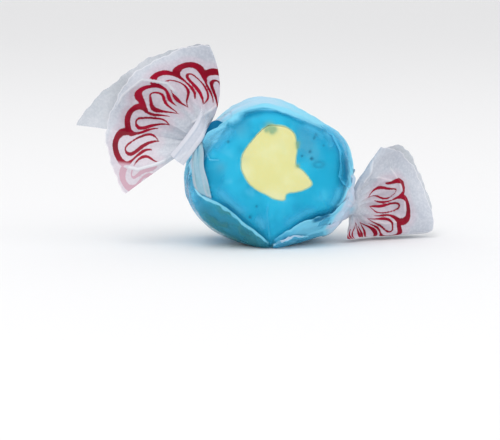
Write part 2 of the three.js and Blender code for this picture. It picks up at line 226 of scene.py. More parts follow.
patch = np.array(CENTRE_OUTLINE)
front_outline = curve(np.concatenate([patch[-1:], patch, patch[:2]]), OUTLINE_STEPS)
heart = np.mean(patch, axis=0)
turned = math.radians(CENTRE_TURN)
turning = np.array([[math.cos(turned), math.sin(turned)], [-math.sin(turned), math.cos(turned)]])
back_outline = (front_outline - heart) @ turning.T + heart + np.array(CENTRE_SHIFT)


def outline_radius(outline, turns):
    """How far an outline lies from the barrel's middle line in each direction round it."""
    angles = np.arctan2(outline[:, 1], outline[:, 0])
    radii = np.hypot(outline[:, 0], outline[:, 1])
    return np.interp(turns, angles, radii, period=2 * math.pi)


candy_turns = np.linspace(0, 2 * math.pi, CANDY_COLUMNS, endpoint=False)
front_radius = outline_radius(front_outline, candy_turns)
back_radius = outline_radius(back_outline, candy_turns)
front_tip = np.arctan2(front_radius, HALF_LENGTH - TAFFY_INSET)
back_tip = np.arctan2(back_radius, HALF_LENGTH - TAFFY_INSET)


def barrel_points(tips, turns):
    """Points on the candy's skin: angle from the way out of the front face, and turn round it."""
    direction = np.stack([
        np.sin(tips) * np.cos(turns),
        -np.cos(tips) * np.ones_like(turns),
        np.sin(tips) * np.sin(turns),
    ], axis=-1)
    points = direction * reach_of(direction, TAFFY_INSET, TAFFY_SHARPNESS)[..., None]
    points[..., 2] = np.maximum(points[..., 2], TAFFY_FLOOR - BODY_RISE)
    return points


def grid_faces(rows, columns, close_columns=False, close_rows=False):
    """Four-sided faces between the points of a grid, which may close on itself either way."""
    here = np.arange(rows * columns).reshape(rows, columns)
    if close_columns:
        here = np.concatenate([here, here[:, :1]], axis=1)
    if close_rows:
        here = np.concatenate([here, here[:1]], axis=0)
    return np.stack([here[:-1, :-1], here[:-1, 1:], here[1:, 1:], here[1:, :-1]], axis=-1).reshape(-1, 4)


def make_piece(name, points, faces, fields):
    """A smooth mesh object from points in mm round the body's middle, with a number field at each point."""
    mesh = bpy.data.meshes.new(name)
    placed = (np.asarray(points).reshape(-1, 3) + (0, 0, BODY_RISE)) * MM
    mesh.from_pydata(placed.tolist(), [], [list(face) for face in faces])
    mesh.polygons.foreach_set("use_smooth", [True] * len(mesh.polygons))
    for field, values in fields.items():
        attribute = mesh.attributes.new(field, "FLOAT", "POINT")
        attribute.data.foreach_set("value", np.asarray(values, np.float32).ravel())
    mesh.update()
    piece = bpy.data.objects.new(name, mesh)
    bpy.context.scene.collection.objects.link(piece)
    return piece


def border_distance(points):
    """How far each point of the candy lies outside the yellow patch, as seen along its length."""
    flat_points = points[..., [0, 2]]
    turns = np.arctan2(flat_points[..., 1], flat_points[..., 0])
    radii = np.hypot(flat_points[..., 0], flat_points[..., 1])
    from_front, from_back = (
        np.sign(radii - outline_radius(outline, turns)) * nearest(flat_points, outline)
        for outline in (front_outline, back_outline)
    )
    return np.where(points[..., 1] < 0, from_front, from_back)


# Where the blue has bled into the yellow: mm across and up from the body's middle, and radius in mm.
GREEN_SPOTS = [
    (-0.6, 8.0, 0.7), (0.2, 7.6, 0.5), (-0.2, 7.2, 0.4), (-1.1, 7.4, 0.3), (3.8, 5.4, 0.38), (3.8, 4.8, 0.3),
    (3.8, 1.9, 0.35),
]


def spot_field(points, spots):
    """1 in the middle of each round spot on the front face, fading out at its radius."""
    total = np.zeros(points.shape[:-1])
    for across, up, radius in spots:
        away = (points[..., 0] - across) ** 2 + (points[..., 2] - up) ** 2
        total += np.exp(-away / radius ** 2) * (points[..., 1] < 0)
    return np.minimum(total, 1)


class Paint:
    """A procedural material, wired up by short calls."""

    def __init__(self, name):
        self.material = bpy.data.materials.new(name)
        self.material.use_nodes = True
        self.nodes = self.material.node_tree.nodes
        self.shader = self.nodes["Principled BSDF"]

    def link(self, source, socket):
        if hasattr(source, "is_linked"):
            self.material.node_tree.links.new(source, socket)
        else:
            socket.default_value = source

    def node(self, kind, **inputs):
        node = self.nodes.new("ShaderNode" + kind)
        for name, value in inputs.items():
            self.link(value, node.inputs[name])
        return node

    def field(self, name):
        node = self.node("Attribute")
        node.attribute_name = name
        return node.outputs["Fac"]

    def math(self, operation, *values):
        node = self.node("Math")
        node.operation = operation
        for socket, value in zip(node.inputs, values):
            self.link(value, socket)
        return node.outputs[0]

    def ramp(self, value, low, high, start=0.0, end=1.0):
        node = self.node("MapRange")
        node.interpolation_type = "SMOOTHSTEP"
        for socket, given in zip(node.inputs, (value, low, high, start, end)):
            self.link(given, socket)
        return node.outputs[0]

    def noise(self, scale, detail=3.0, rough=0.55, stretch=(1, 1, 1)):
        place = self.node("TexCoord").outputs["Object"]
        place = self.node("Mapping", Vector=place, Scale=stretch).outputs["Vector"]
        return self.node("TexNoise", Vector=place, Scale=scale, Detail=detail, Roughness=rough).outputs["Fac"]

    def mix(self, share, first, second):
        node = self.node("Mix")
        node.data_type = "RGBA"
        self.link(share, node.inputs["Factor"])
        colour_inputs = [socket for socket in node.inputs if socket.type == "RGBA"]
        for socket, colour in zip(colour_inputs, (first, second)):
            self.link(colour if hasattr(colour, "is_linked") else (*colour, 1), socket)
        return [socket for socket in node.outputs if socket.type == "RGBA"][0]

    def tint(self, colour, field, strength, tone):
        """Lays a tone over a colour, as strongly as a field of the mesh says."""
        return self.mix(self.math("MULTIPLY", self.field(field), strength), colour, tone)

    def bump(self, height, strength, distance):
        node = self.node("Bump", Height=height, Strength=strength, Distance=distance)
        self.link(node.outputs["Normal"], self.shader.inputs["Normal"])

    def set(self, **sockets):
        for name, value in sockets.items():
            self.link(value, self.shader.inputs[name.replace("_", " ")])


def taffy_paint(name):
    """Pulled sugar: soft satin, faintly clouded, blended from yellow to blue across the border, with painted
    shade in its pits.
    """
    paint = Paint(name)
    cloud = paint.noise(210, detail=4)
    streak = paint.noise(420, detail=2, stretch=(1, 0.25, 1))
    yellow = paint.mix(paint.ramp(cloud, 0.35, 0.7), YELLOW, YELLOW_PALE)
    blue = paint.mix(paint.ramp(cloud, 0.34, 0.62), BLUE_DEEP, BLUE)
    blue = paint.mix(paint.ramp(streak, 0.5, 0.72, 0, 0.45), blue, BLUE_PALE)
    blue = paint.tint(blue, "dull", 0.55, BLUE_DULL)
    blue = paint.tint(blue, "deep", 0.8, BLUE_RICH)
    wander = paint.math("MULTIPLY_ADD", paint.noise(900, detail=2), 0.3, -0.15)
    border = paint.math("ADD", paint.field("border"), wander)
    colour = paint.mix(paint.ramp(border, -0.2, 0.06), yellow, GREEN_EDGE)
    colour = paint.mix(paint.ramp(border, -0.04, 0.24), colour, blue)
    colour = paint.tint(colour, "green", 0.85, GREEN_SPOT)
    # Painted shade in the pits and round the burst bubble's rim.
    colour = paint.tint(colour, "pit_shade", 0.9, PIT_SHADE_BLUE)
    paint.set(Base_Color=colour, Roughness=0.45, Specular_IOR_Level=0.25)
    paint.set(Subsurface_Weight=0.15, Subsurface_Radius=(0.6, 1.0, 1.0), Subsurface_Scale=0.0015)
    paint.bump(paint.noise(700, detail=3), 0.25, 0.0001)
    return paint.material


def finish_candy(piece, node, paint):
    piece.data.materials.append(paint)
    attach(piece, "root")
    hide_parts(node)


cap_shares = np.linspace(0, 1, CAP_ROWS)[1:, None]
wall_shares = np.linspace(0, 1, WALL_ROWS)[1:-1, None]
cap_turns = candy_turns + 0 * cap_shares
front_cap = barrel_points(cap_shares * front_tip * (1 - CORE_SINK), cap_turns)
back_cap = barrel_points(math.pi - cap_shares[::-1] * back_tip * (1 - CORE_SINK), cap_turns)
core_wall = front_cap[-1] + (back_cap[0] - front_cap[-1]) * wall_shares[..., None]
core_rings = np.concatenate([front_cap, core_wall, back_cap])
core_points = np.concatenate([
    barrel_points(np.array([0.0]), np.array([0.0])),
    core_rings.reshape(-1, 3),
    barrel_points(np.array([math.pi]), np.array([0.0])),
])
core_faces = [list(face + 1) for face in grid_faces(len(core_rings), CANDY_COLUMNS, True)]
last_ring = 1 + (len(core_rings) - 1) * CANDY_COLUMNS
for column in range(CANDY_COLUMNS):
    beside = (column + 1) % CANDY_COLUMNS
    core_faces.append([0, 1 + beside, 1 + column])
    core_faces.append([len(core_points) - 1, last_ring + column, last_ring + beside])
yellow_centre = make_piece("yellow_core", core_points, core_faces, {
    "border": border_distance(core_points),
    "green": spot_field(core_points, GREEN_SPOTS),
})
finish_candy(yellow_centre, "yellow_centre", taffy_paint("yellow_pulled_sugar"))


# The blue taffy: a rope of pulled and aerated sugar rolled round the yellow, then cut to length.
# Its cut face is flat and satin, with a few burst air bubbles, and its edges are pressed round by the paper.
SKIN_ROWS = 190
# Cloudy parts, rich parts and small pits, whose darkness is painted shade: mm across and up from the body's
# middle, and radius in mm.
DULL_SPOTS = [(5.2, 5.2, 1.7), (6.4, 3.6, 1.1), (5.0, 7.2, 1.2), (-5.2, 7.6, 1.3), (-8.2, 1.8, 0.9)]
DEEP_SPOTS = [
    (8.4, 4.6, 1.3), (9.3, 2.4, 1.6), (9.2, -0.4, 2.0), (6.9, 0.0, 1.6), (5.4, -3.2, 1.5), (-3.0, -5.2, 1.8),
]
PITS = [
    (-3.6, -6.1, 0.22), (-7.0, 5.7, 0.2), (6.0, 2.95, 0.26), (5.7, 4.05, 0.2), (6.75, 6.7, 0.3),
    (6.4, 6.2, 0.2), (-7.05, -7.5, 0.3), (4.5, 3.4, 0.14), (7.9, 5.0, 0.13), (-2.6, -4.4, 0.13),
]
BUBBLE = (7.1, 2.0)
BUBBLE_SIZE = (0.75, 0.45)
BUBBLE_RIM = 0.22
BUBBLE_DEPTH = 0.4
# How much painted shade lies round the bubble's rim.
BUBBLE_RIM_SHADE = 0.3
PIT_DEPTH = 0.25


def bell(away, width, power=2):
    """1 on a line, and nearly 0 at twice its half width from it."""
    return np.exp(-(away / width) ** power)


def bubble_field(points):
    """1 along the rim of the one oval burst bubble."""
    across = (points[..., 0] - BUBBLE[0]) / BUBBLE_SIZE[0]
    up = (points[..., 2] - BUBBLE[1]) / BUBBLE_SIZE[1]
    from_rim = (np.hypot(across, up) - 1) * BUBBLE_SIZE[1]
    return bell(from_rim, BUBBLE_RIM) * (points[..., 1] < 0)


skin_shares = np.linspace(0, 1, SKIN_ROWS)[:, None]
skin_tips = front_tip + (math.pi - back_tip - front_tip) * skin_shares
blue_skin = barrel_points(skin_tips, candy_turns + 0 * skin_shares)
pit_depth = spot_field(blue_skin, PITS) + BUBBLE_DEPTH * bubble_field(blue_skin)
blue_skin[..., 1] += PIT_DEPTH * np.minimum(pit_depth, 1)
blue_wall = blue_skin[-1] + (blue_skin[0] - blue_skin[-1]) * wall_shares[..., None]
blue_points = np.concatenate([blue_skin, blue_wall])
blue_taffy = make_piece("blue_body", blue_points, grid_faces(len(blue_points), CANDY_COLUMNS, True, True), {
    "border": np.concatenate([border_distance(blue_skin), np.zeros(blue_wall.shape[:-1])]),
    "green": spot_field(blue_points, GREEN_SPOTS),
    "dull": spot_field(blue_points, DULL_SPOTS),
    "deep": spot_field(blue_points, DEEP_SPOTS),
    "pit_shade": np.minimum(spot_field(blue_points, PITS) + BUBBLE_RIM_SHADE * bubble_field(blue_points), 1),
})
finish_candy(blue_taffy, "blue_taffy", taffy_paint("blue_pulled_sugar"))


# The print: a plain garland in red ink, with a petal and a stem under each arch, near each end of the sheet.
# It is printed flat, before the sheet is rolled, so it is gathered with the paper at the twists.
# Each stroke of one arch has its corners in mm, and its half widths at even steps from end to end.
ARCH_PITCH = 2.7
ARCHES_EACH_WAY = 9
ARCH = [(-1.35, 0.7), (-1.28, 1.9), (-0.75, 2.9), (0.0, 3.25), (0.75, 2.9), (1.28, 1.9), (1.35, 0.7)]
ARCH_WIDTHS = [0.14, 0.28, 0.4, 0.44, 0.34, 0.24, 0.14]
PETAL = [
    (0.0, -3.4), (-0.6, -1.7), (-0.76, 0.2), (-0.42, 1.4), (0.0, 1.75), (0.42, 1.3), (0.74, 0.1),
    (0.55, -1.8), (0.0, -3.4),
]
PETAL_WIDTHS = [0.08, 0.2, 0.32, 0.22, 0.13, 0.13, 0.2, 0.16, 0.08]
STEM = [(1.35, 0.8), (1.3, -0.6), (1.42, -2.4)]
STEM_WIDTHS = [0.14, 0.24, 0.08]
STROKE_STEPS = 80
CURVE_STEPS = 30
PRINT_SEED = 7
NO_INK = 2.0


def through_corners(corners, steps, soft=True):
    """An open line at even steps through its corners: smooth, or straight from corner to corner."""
    line = corners = np.array(corners, float)
    if soft:
        padded = np.concatenate([2 * corners[:1] - corners[1:2], corners, 2 * corners[-1:] - corners[-2:-1]])
        line = np.concatenate([curve(padded, CURVE_STEPS), corners[-1:]])
    lengths = np.concatenate([[0], np.cumsum(np.linalg.norm(np.diff(line, axis=0), axis=1))])
    even_lengths = np.linspace(0, lengths[-1], steps)
    return np.stack([np.interp(even_lengths, lengths, column) for column in line.T], axis=-1)


def evenly(values, shares):
    """Values that stand at even steps of a line, read at shares of its length."""
    return np.interp(shares, np.linspace(0, 1, len(values)), values)


def ink_distance(along, across, blank):
    """How far each point of the sheet lies outside the red strokes, in mm along and across the print."""
    draw = np.random.default_rng(PRINT_SEED)
    shares = np.linspace(0, 1, STROKE_STEPS)
    one_arch = np.concatenate([
        np.column_stack([through_corners(line, STROKE_STEPS), evenly(widths, shares)])
        for line, widths in ((ARCH, ARCH_WIDTHS), (PETAL, PETAL_WIDTHS), (STEM, STEM_WIDTHS))
    ])
    strokes = []
    for number in range(-ARCHES_EACH_WAY, ARCHES_EACH_WAY + 1):
        stretch = np.array([draw.uniform(0.95, 1.05), draw.uniform(0.95, 1.1), draw.uniform(0.85, 1.15)])
        shift = np.array([number * ARCH_PITCH, draw.uniform(-0.2, 0.2), 0])
        if abs(number * ARCH_PITCH) >= blank:
            strokes.append(one_arch * stretch + shift)
    marks = np.concatenate(strokes)
    return np.minimum(nearest(np.stack([along, across], axis=-1), marks[:, :2], marks[:, 2]), NO_INK)


# The waxed paper round the body: one thin sheet of tissue, rolled round the candy and drawn in to two necks.
# Its wax clings. Where it touches it is clear as glass, and where it stands off or is doubled it is milky.
# The ways from the body's middle to the two necks and to the seam. The seam's overlap is in radians.
LEFT_NECK = np.array([-9.9, -4.8, 5.4])
RIGHT_NECK = np.array([12.2, -1.5, -4.9])
SEAM_SIDE = np.array([0, 1, -0.62])
SEAM_OVERLAP = 0.5
SEAM_LIFT = 0.3
SEAM_LIFT_TURN = 0.6
PAPER_SHARPNESS = 26
PAPER_FLOOR = 0.03
GATHER_ANGLE = math.radians(27)
PLEATS = 9
PLEAT_HEIGHT = 0.7
FINE_PLEATS = 11.5
FINE_PLEAT_HEIGHT = 0.22
# How high the pleats stand on the body next to the left neck (-1) and the right neck (1).
PLEATS_ON_BODY = {-1: 0.4, 1: 0.8}
SHEET_COLUMNS = 330
BODY_ROWS = 230
FRONT_CROWDING = 0.55
FRONT_TURN = 0.52
PAPER_GAP = 0.03
WHOLE_TURN = 2 * math.pi + SEAM_OVERLAP


def smooth(low, high, value):
    """0 on the low side, 1 on the high side, and a soft slope between them."""
    share = np.clip((value - low) / (high - low), 0, 1)
    return share * share * (3 - 2 * share)


def unit(vectors):
    return vectors / np.linalg.norm(vectors, axis=-1, keepdims=True)


left_way = unit(LEFT_NECK)
right_way = unit(RIGHT_NECK)
through_way = unit(right_way - left_way)


def across_to(way, target):
    """The part of one direction that is square to another."""
    return unit(target - way * (target @ way))


seam_way = across_to(through_way, SEAM_SIDE)
quarter_way = np.cross(through_way, seam_way)

# The columns lie closer together over the front face, where the paper shows most.
even = np.linspace(0, 1, SHEET_COLUMNS)
crowded = even - FRONT_CROWDING * np.sin(2 * math.pi * (even - FRONT_TURN + 0.5)) / (2 * math.pi)
crowded = (crowded - crowded[0]) / (crowded[-1] - crowded[0])
SHEET_TURNS = crowded * WHOLE_TURN


def on_face(direction):
    """1 where a direction leaves the body through its flat front, and 0 round it."""
    reach = reach_of(direction, 0, PAPER_SHARPNESS)
    return (np.maximum(0, -direction[..., 1] * reach) / HALF_LENGTH) ** PAPER_SHARPNESS


def pleat_rise(side, polar, turn):
    """The pleats stand up round each neck and die out on the body."""
    phase = 0.4 if side < 0 else 1.7
    uneven = turn + 0.18 * np.sin(2 * turn + phase) + 0.1 * np.sin(5 * turn + 2 * phase)
    ridge = 0.5 + 0.5 * np.cos(PLEATS * uneven + phase)
    fine = np.abs(np.sin(FINE_PLEATS * uneven + 2.3 * phase)) ** 0.7 * (1 - smooth(0.3, 0.85, polar))
    envelope = (1 - smooth(0.45, 1.05, polar)) * smooth(0.05, 0.4, polar)
    return (PLEAT_HEIGHT * ridge + FINE_PLEAT_HEIGHT * fine) * envelope


def body_points(side, polar, turn):
    """Points on the rolled sheet: angle from one neck (side -1 is the left), and turn round it."""
    way = left_way if side < 0 else right_way
    near = (1 - smooth(0.3, 1.3, polar))[..., None]
    first = seam_way * (1 - near) + across_to(way, seam_way) * near
    second = quarter_way * (1 - near) + across_to(way, quarter_way) * near
    polar = polar[..., None]
    turns = turn[..., None]
    direction = unit(
        way * np.cos(polar) + first * np.sin(polar) * np.cos(turns) + second * np.sin(polar) * np.sin(turns)
    )
    rise = PLEATS_ON_BODY[side] * pleat_rise(side, polar[..., 0], turn) * (1 - on_face(direction))
    return direction * (reach_of(direction, 0, PAPER_SHARPNESS) + rise)[..., None]


def overlap_lift(turn):
    """How far the last part of the turn stands up, to lie over the first at the seam."""
    risen = 2 * math.pi - 0.1
    return SEAM_LIFT * smooth(risen - SEAM_LIFT_TURN, risen, turn)


def skin_normal(direction):
    """The way straight out of the rolled sheet, in each direction from the body's middle."""
    along = np.maximum(direction @ FLAT_NORMALS.T, 0) / FLAT_DISTANCES
    return unit((along ** (PAPER_SHARPNESS - 1) / FLAT_DISTANCES) @ FLAT_NORMALS)


def line_fields(points, corners):
    """Signed distance from a line seen on the front (above 0 on its left), and the share of its length."""
    corners = np.array(corners, float)
    steps = np.diff(corners, axis=0)
    lengths = np.hypot(*steps.T)
    ways = steps / lengths[:, None]
    offsets = points[..., None, [0, 2]] - corners[:-1]
    shares = np.clip(np.sum(offsets * ways, axis=-1), 0, lengths)
    gaps = offsets - shares[..., None] * ways
    distances = np.hypot(gaps[..., 0], gaps[..., 1])
    on_left = ways[:, 0] * offsets[..., 1] - ways[:, 1] * offsets[..., 0] >= 0
    signed = np.where(on_left, distances, -distances)
    along = (np.cumsum(lengths) - lengths + shares) / lengths.sum()
    closest = np.argmin(distances, axis=-1)[..., None]
    return tuple(np.take_along_axis(values, closest, axis=-1)[..., 0] for values in (signed, along))


# The lines that the folds and creases follow, as seen square on: mm across and up from the body's middle.
V_LEFT = [(-12.2, -1.3), (-10.9, -2.4), (-9.5, -3.1), (-7.3, -4.3), (-4.5, -6.6), (-2.0, -8.6), (-0.3, -10.2)]
V_RIGHT = [
    (-0.1, -9.7), (1.2, -8.7), (2.5, -8.0), (4.0, -6.9), (5.3, -6.4), (6.9, -5.8), (8.9, -5.3), (10.8, -4.0),
    (12.4, -3.2),
]
RIGHT_NOOK = [(11.1, 3.3), (11.4, 1.9), (11.5, 0.6), (11.0, -0.9)]

# Low creases over the face: line, height and half width in mm, and paleness. The back has them mirrored.
CREASES = [
    ([(-10.6, 4.7), (-10.3, 4.0), (-9.8, 2.9), (-8.1, 2.9)], 0.1, 0.16, 0.36),
    ([(-0.8, -3.6), (-1.0, -5.7), (-0.7, -8.1), (-0.4, -10.0)], 0.08, 0.25, 0.25),
    ([(-8.6, 7.4), (-6.3, 9.3), (-4.5, 10.3), (-2.4, 10.7), (1.5, 10.4)], 0.08, 0.3, 0.34),
    ([(-7.8, 8.6), (-5.4, 10.1), (-3.0, 11.2), (0.7, 11.4), (4.7, 9.9)], 0.14, 0.3, 0.3),
    ([(10.6, 3.1), (11.4, 1.6), (12.0, 0.4), (11.2, -0.6)], 0.1, 0.22, 0.3),
    ([(7.6, 7.4), (9.4, 7.6), (11.0, 6.4)], 0.12, 0.3, 0.3),
    ([(8.2, 7.2), (10.2, 5.6), (11.9, 3.4)], 0.12, 0.3, 0.35),
    ([(-9.6, -2.2), (-8.2, -0.9), (-7.4, 1.0)], 0.06, 0.2, 0.18),
    ([(4.6, -6.9), (3.5, -5.4), (2.9, -4.0)], 0.06, 0.2, 0.18),
    ([(-3.6, -7.3), (-2.6, -5.6), (-2.4, -4.2)], 0.05, 0.2, 0.15),
    ([(8.5, -5.2), (7.6, -3.4), (7.2, -1.8)], 0.06, 0.2, 0.18),
    ([(10.0, 3.8), (8.6, 5.0), (6.9, 5.4)], 0.06, 0.22, 0.2),
    ([(1.6, 10.3), (3.4, 9.2), (5.4, 8.5)], 0.08, 0.25, 0.25),
]

# Painted shade in small hollows under the sheet: line, depth of the shade and half width in mm.
NOOK_SHADES = [
    ([(-10.7, 4.6), (-10.6, 3.6)], 0.8, 0.13),
    ([(-9.9, -1.2), (-9.4, -3.3)], 0.7, 0.12),
    (RIGHT_NOOK, 0.85, 0.5),
]

# The painted shade inside the two low folds, where the gap under each fold lies in shadow: line, its offset
# and half width in mm, and its depth by shares of the line's length.
TUCK_SHADES = [
    (V_LEFT, 0.1, 0.45, [0, 0.25, 0.4, 0.5, 0.75, 1], [0.1, 0.35, 0.95, 0.9, 0.4, 0.4]),
    (V_RIGHT, -0.1, 0.4, [0, 0.2, 0.45, 0.6, 0.75, 1], [0.35, 0.3, 0.8, 0.9, 0.4, 0]),
]

# Soft pale bands where the sheet stands off the cut face a little: line, half width in mm, and paleness.
VEILS = [
    ([(-9.4, 0.2), (-8.4, -2.0), (-6.2, -4.2), (-3.2, -6.9)], 1.3, 0.27),
    ([(-3.4, -5.6), (-1.9, -6.8), (-1.2, -8.8)], 1.2, 0.26),
    ([(0.6, -8.8), (2.4, -6.8), (5.4, -5.2), (8.6, -4.9)], 1.0, 0.24),
    ([(8.6, -5.4), (10.0, -3.2), (10.6, -0.6)], 1.1, 0.27),
    ([(-9.8, 3.4), (-8.2, 5.8), (-5.4, 8.4)], 1.3, 0.27),
    ([(3.6, 8.6), (6.4, 7.4), (9.0, 5.4)], 1.2, 0.25),
]

# How pale the paper is round the face, by the turn in degrees from the right: partly the milky paper that
# stands off there, and partly a painted sheen, strongest on top and weakest low on the left.
HAZE_AND_SHEEN_TURNS = [0, 30, 60, 90, 120, 150, 165, 178, 186, 205, 225, 255, 280, 310, 335]
HAZE_AND_SHEEN_SHARES = [0.3, 0.32, 0.46, 0.6, 0.56, 0.42, 0.32, 0.2, 0.06, 0.14, 0.12, 0.12, 0.2, 0.28, 0.3]
HAZE_AND_SHEEN_DEPTH = 1.1
NECK_HAZE = 0.75
# How dark the paper is low down on the left, by the turn in degrees from the right: painted shade, tinted
# green, where the paper faces down.
SHADE_TURNS = [0, 195, 215, 240, 262, 275, 290, 330]
SHADE_SHARES = [0, 0, 0.55, 0.8, 0.6, 0.3, 0.1, 0]
GATHER_CREASES = 15
GATHER_SEED = 61
GATHER_CREASE_HEIGHT = 0.12
GATHER_CREASE_PALE = 0.3
# The arc in mm that one radian makes on the body, round a neck and round the barrel's axis.
GATHER_ARC = 12.5
SIDE_ARC = 11
# A facet's length and its level away from its crease, as shares of its size, and how round the crease is.
FACET_LENGTH = 1.7
FACET_LEVEL = 0.4
FACET_ROUND = 0.004

TISSUE = (0.52, 0.555, 0.630)
TISSUE_PALE = (0.61, 0.640, 0.705)
TISSUE_EDGE = (0.74, 0.75, 0.80)
CLINGING_BLUE = (0.03, 0.47, 0.78)
HAZY_BLUE = (0.25, 0.71, 0.92)
MILK = (0.68, 0.72, 0.86)
# The colour of the painted shade, tinted green.
SHADE_GREEN = (0.060, 0.215, 0.165)
# The colour of the painted shade in the gaps and hollows under the folds.
TUCK_SHADE_BLUE = (0.000, 0.145, 0.300)
INK_HALO = (0.70, 0.36, 0.46)
INK_DEEP = (0.19, 0.001, 0.012)
INK_RED = (0.34, 0.001, 0.024)
INK_BEHIND = (0.52, 0.27, 0.36)


def round_front(points):
    """The turn of each point round the barrel's axis, in degrees from the right."""
    return np.degrees(np.arctan2(points[..., 2], points[..., 0]))


def tapered(along, end):
    """1 along a line, and dying out over the given share of its length at each end."""
    return smooth(0, end, along) * smooth(1, 1 - end, along)


def crumple(u, v, seed, count, size, slope):
    """Flat facets of about one size in mm with sharp creases between them, as handled waxed paper has."""
    draw = np.random.default_rng(seed)
    total = np.zeros_like(u)
    low_u, high_u, low_v, high_v = u.min(), u.max(), v.min(), v.max()
    for _ in range(count):
        heading, rise = draw.uniform(0, math.pi), draw.uniform(-1, 1)
        from_u = u - draw.uniform(low_u, high_u)
        from_v = v - draw.uniform(low_v, high_v)
        across = from_u * math.cos(heading) + from_v * math.sin(heading)
        beside = from_v * math.cos(heading) - from_u * math.sin(heading)
        window = np.exp(-(beside / (FACET_LENGTH * size)) ** 2 - (across / size) ** 2)
        total += rise * (np.sqrt(across ** 2 + FACET_ROUND) - FACET_LEVEL * size) * window
    return slope * total


def paper_paint():
    """Waxed tissue: clear and blue where it touches the candy, pale elsewhere, red ink in the print, painted
    shade and sheen.
    """
    paint = Paint("waxed_tissue")
    mottle = paint.noise(260, detail=4)
    fibre = paint.noise(2600, detail=3)
    stand_off = paint.math("ADD", paint.field("stand_off"), paint.ramp(mottle, 0.3, 0.75, -0.1, 0.3))
    milk = paint.math("MAXIMUM", paint.ramp(stand_off, 0.1, 2.4), paint.field("white"))
    alpha = paint.ramp(milk, 0.0, 0.5, 0.07, 0.88)
    alpha = paint.math("MULTIPLY_ADD", paint.field("fan"), -0.08, alpha)
    edge = paint.math("MULTIPLY_ADD", fibre, 0.12, -0.06)
    ink = paint.ramp(paint.math("ADD", paint.field("ink"), edge), 0.05, -0.05)
    tuck_shade = paint.field("tuck_shade")
    ghost = paint.field("ghost")
    ink_alpha = paint.math("MULTIPLY", ink, paint.math("MULTIPLY_ADD", ghost, -0.2, 0.98))
    alpha = paint.math("MAXIMUM", alpha, ink_alpha)
    shade = paint.math("MULTIPLY", paint.field("shade"), paint.ramp(mottle, 0.4, 0.58, 1.0, 0.55))
    alpha = paint.math("MAXIMUM", alpha, paint.math("MAXIMUM", tuck_shade, paint.math("MULTIPLY", shade, 0.9)))
    alpha = paint.math("MULTIPLY", alpha, paint.math("SUBTRACT", 1.0, paint.field("fade")))
    white = paint.mix(paint.ramp(fibre, 0.35, 0.7), TISSUE, TISSUE_PALE)
    white = paint.mix(paint.ramp(milk, 0.78, 1.0), white, TISSUE_EDGE)
    bluish = paint.mix(paint.ramp(milk, 0.1, 0.55), CLINGING_BLUE, HAZY_BLUE)
    bluish = paint.mix(paint.ramp(milk, 0.5, 0.9), bluish, MILK)
    paper = paint.mix(paint.field("fan"), bluish, white)
    paper = paint.mix(shade, paper, SHADE_GREEN)
    paper = paint.mix(tuck_shade, paper, TUCK_SHADE_BLUE)
    paper = paint.mix(paint.ramp(paint.field("ink"), 1.5, 0.1, 0, 0.26), paper, INK_HALO)
    red = paint.mix(paint.ramp(mottle, 0.3, 0.7), INK_DEEP, INK_RED)
    red = paint.mix(ghost, red, INK_BEHIND)
    paint.set(Base_Color=paint.mix(ink, paper, red), Alpha=alpha, Roughness=0.45, Specular_IOR_Level=0.08)
    paint.bump(paint.noise(1100, detail=5, rough=0.6), 0.3, 0.0001)
    return paint.material


PAPER = paper_paint()


def lay_paper(name, points, fields):
    """One piece of the sheet, from a grid of points and the fields that its paint reads."""
    piece = make_piece(name, points, grid_faces(*points.shape[:2]), fields)
    piece.data.materials.append(PAPER)
    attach(piece, "root")
    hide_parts("wax_wrapper")


def stand_off_of(points):
    """How far the paper stands from the candy under it."""
    return np.linalg.norm(points, axis=-1) - reach_of(unit(points), TAFFY_INSET, TAFFY_SHARPNESS)


def on_floor(points):
    """Keeps the paper from going through the floor."""
    points[..., 2] = np.maximum(points[..., 2], PAPER_FLOOR - BODY_RISE)
    return points


polar_rows = np.linspace(GATHER_ANGLE, math.pi - GATHER_ANGLE, BODY_ROWS)
left_half = polar_rows < math.pi / 2
polar_grid, turn_grid = np.meshgrid(polar_rows, SHEET_TURNS, indexing="ij")
paper_round = np.concatenate([
    body_points(-1, polar_grid[left_half], turn_grid[left_half]),
    body_points(1, math.pi - polar_grid[~left_half], turn_grid[~left_half]),
])
paper_round += unit(paper_round) * overlap_lift(turn_grid)[..., None]


def neck_haze(points):
    """How pale the paper is where it draws together at the necks."""
    at_left = smooth(0.87, 0.95, unit(points) @ left_way) * smooth(-7.5, -4.5, points[..., 1])
    return NECK_HAZE * np.maximum(at_left, smooth(0.82, 0.93, unit(points) @ right_way))


def gather_creases(points):
    """1 along the fine creases that run out from both necks over the sides, and fade on the way."""
    draw = np.random.default_rng(GATHER_SEED)
    spot = unit(points)
    total = np.zeros(points.shape[:-1])
    for way in (left_way, right_way):
        first = across_to(way, seam_way)
        polar = np.arccos(np.clip(spot @ way, -1, 1))
        turn = np.arctan2(spot @ np.cross(way, first), spot @ first)
        for _ in range(GATHER_CREASES):
            place, bend = draw.uniform(-math.pi, math.pi), draw.uniform(-0.3, 0.3)
            reach, width = draw.uniform(0.8, 1.5), draw.uniform(0.12, 0.3)
            gap = np.angle(np.exp(1j * (turn - place - bend * polar))) * np.sin(polar) * GATHER_ARC
            total = np.maximum(total, bell(gap, width) * smooth(reach, 0.4 * reach, polar))
    return total


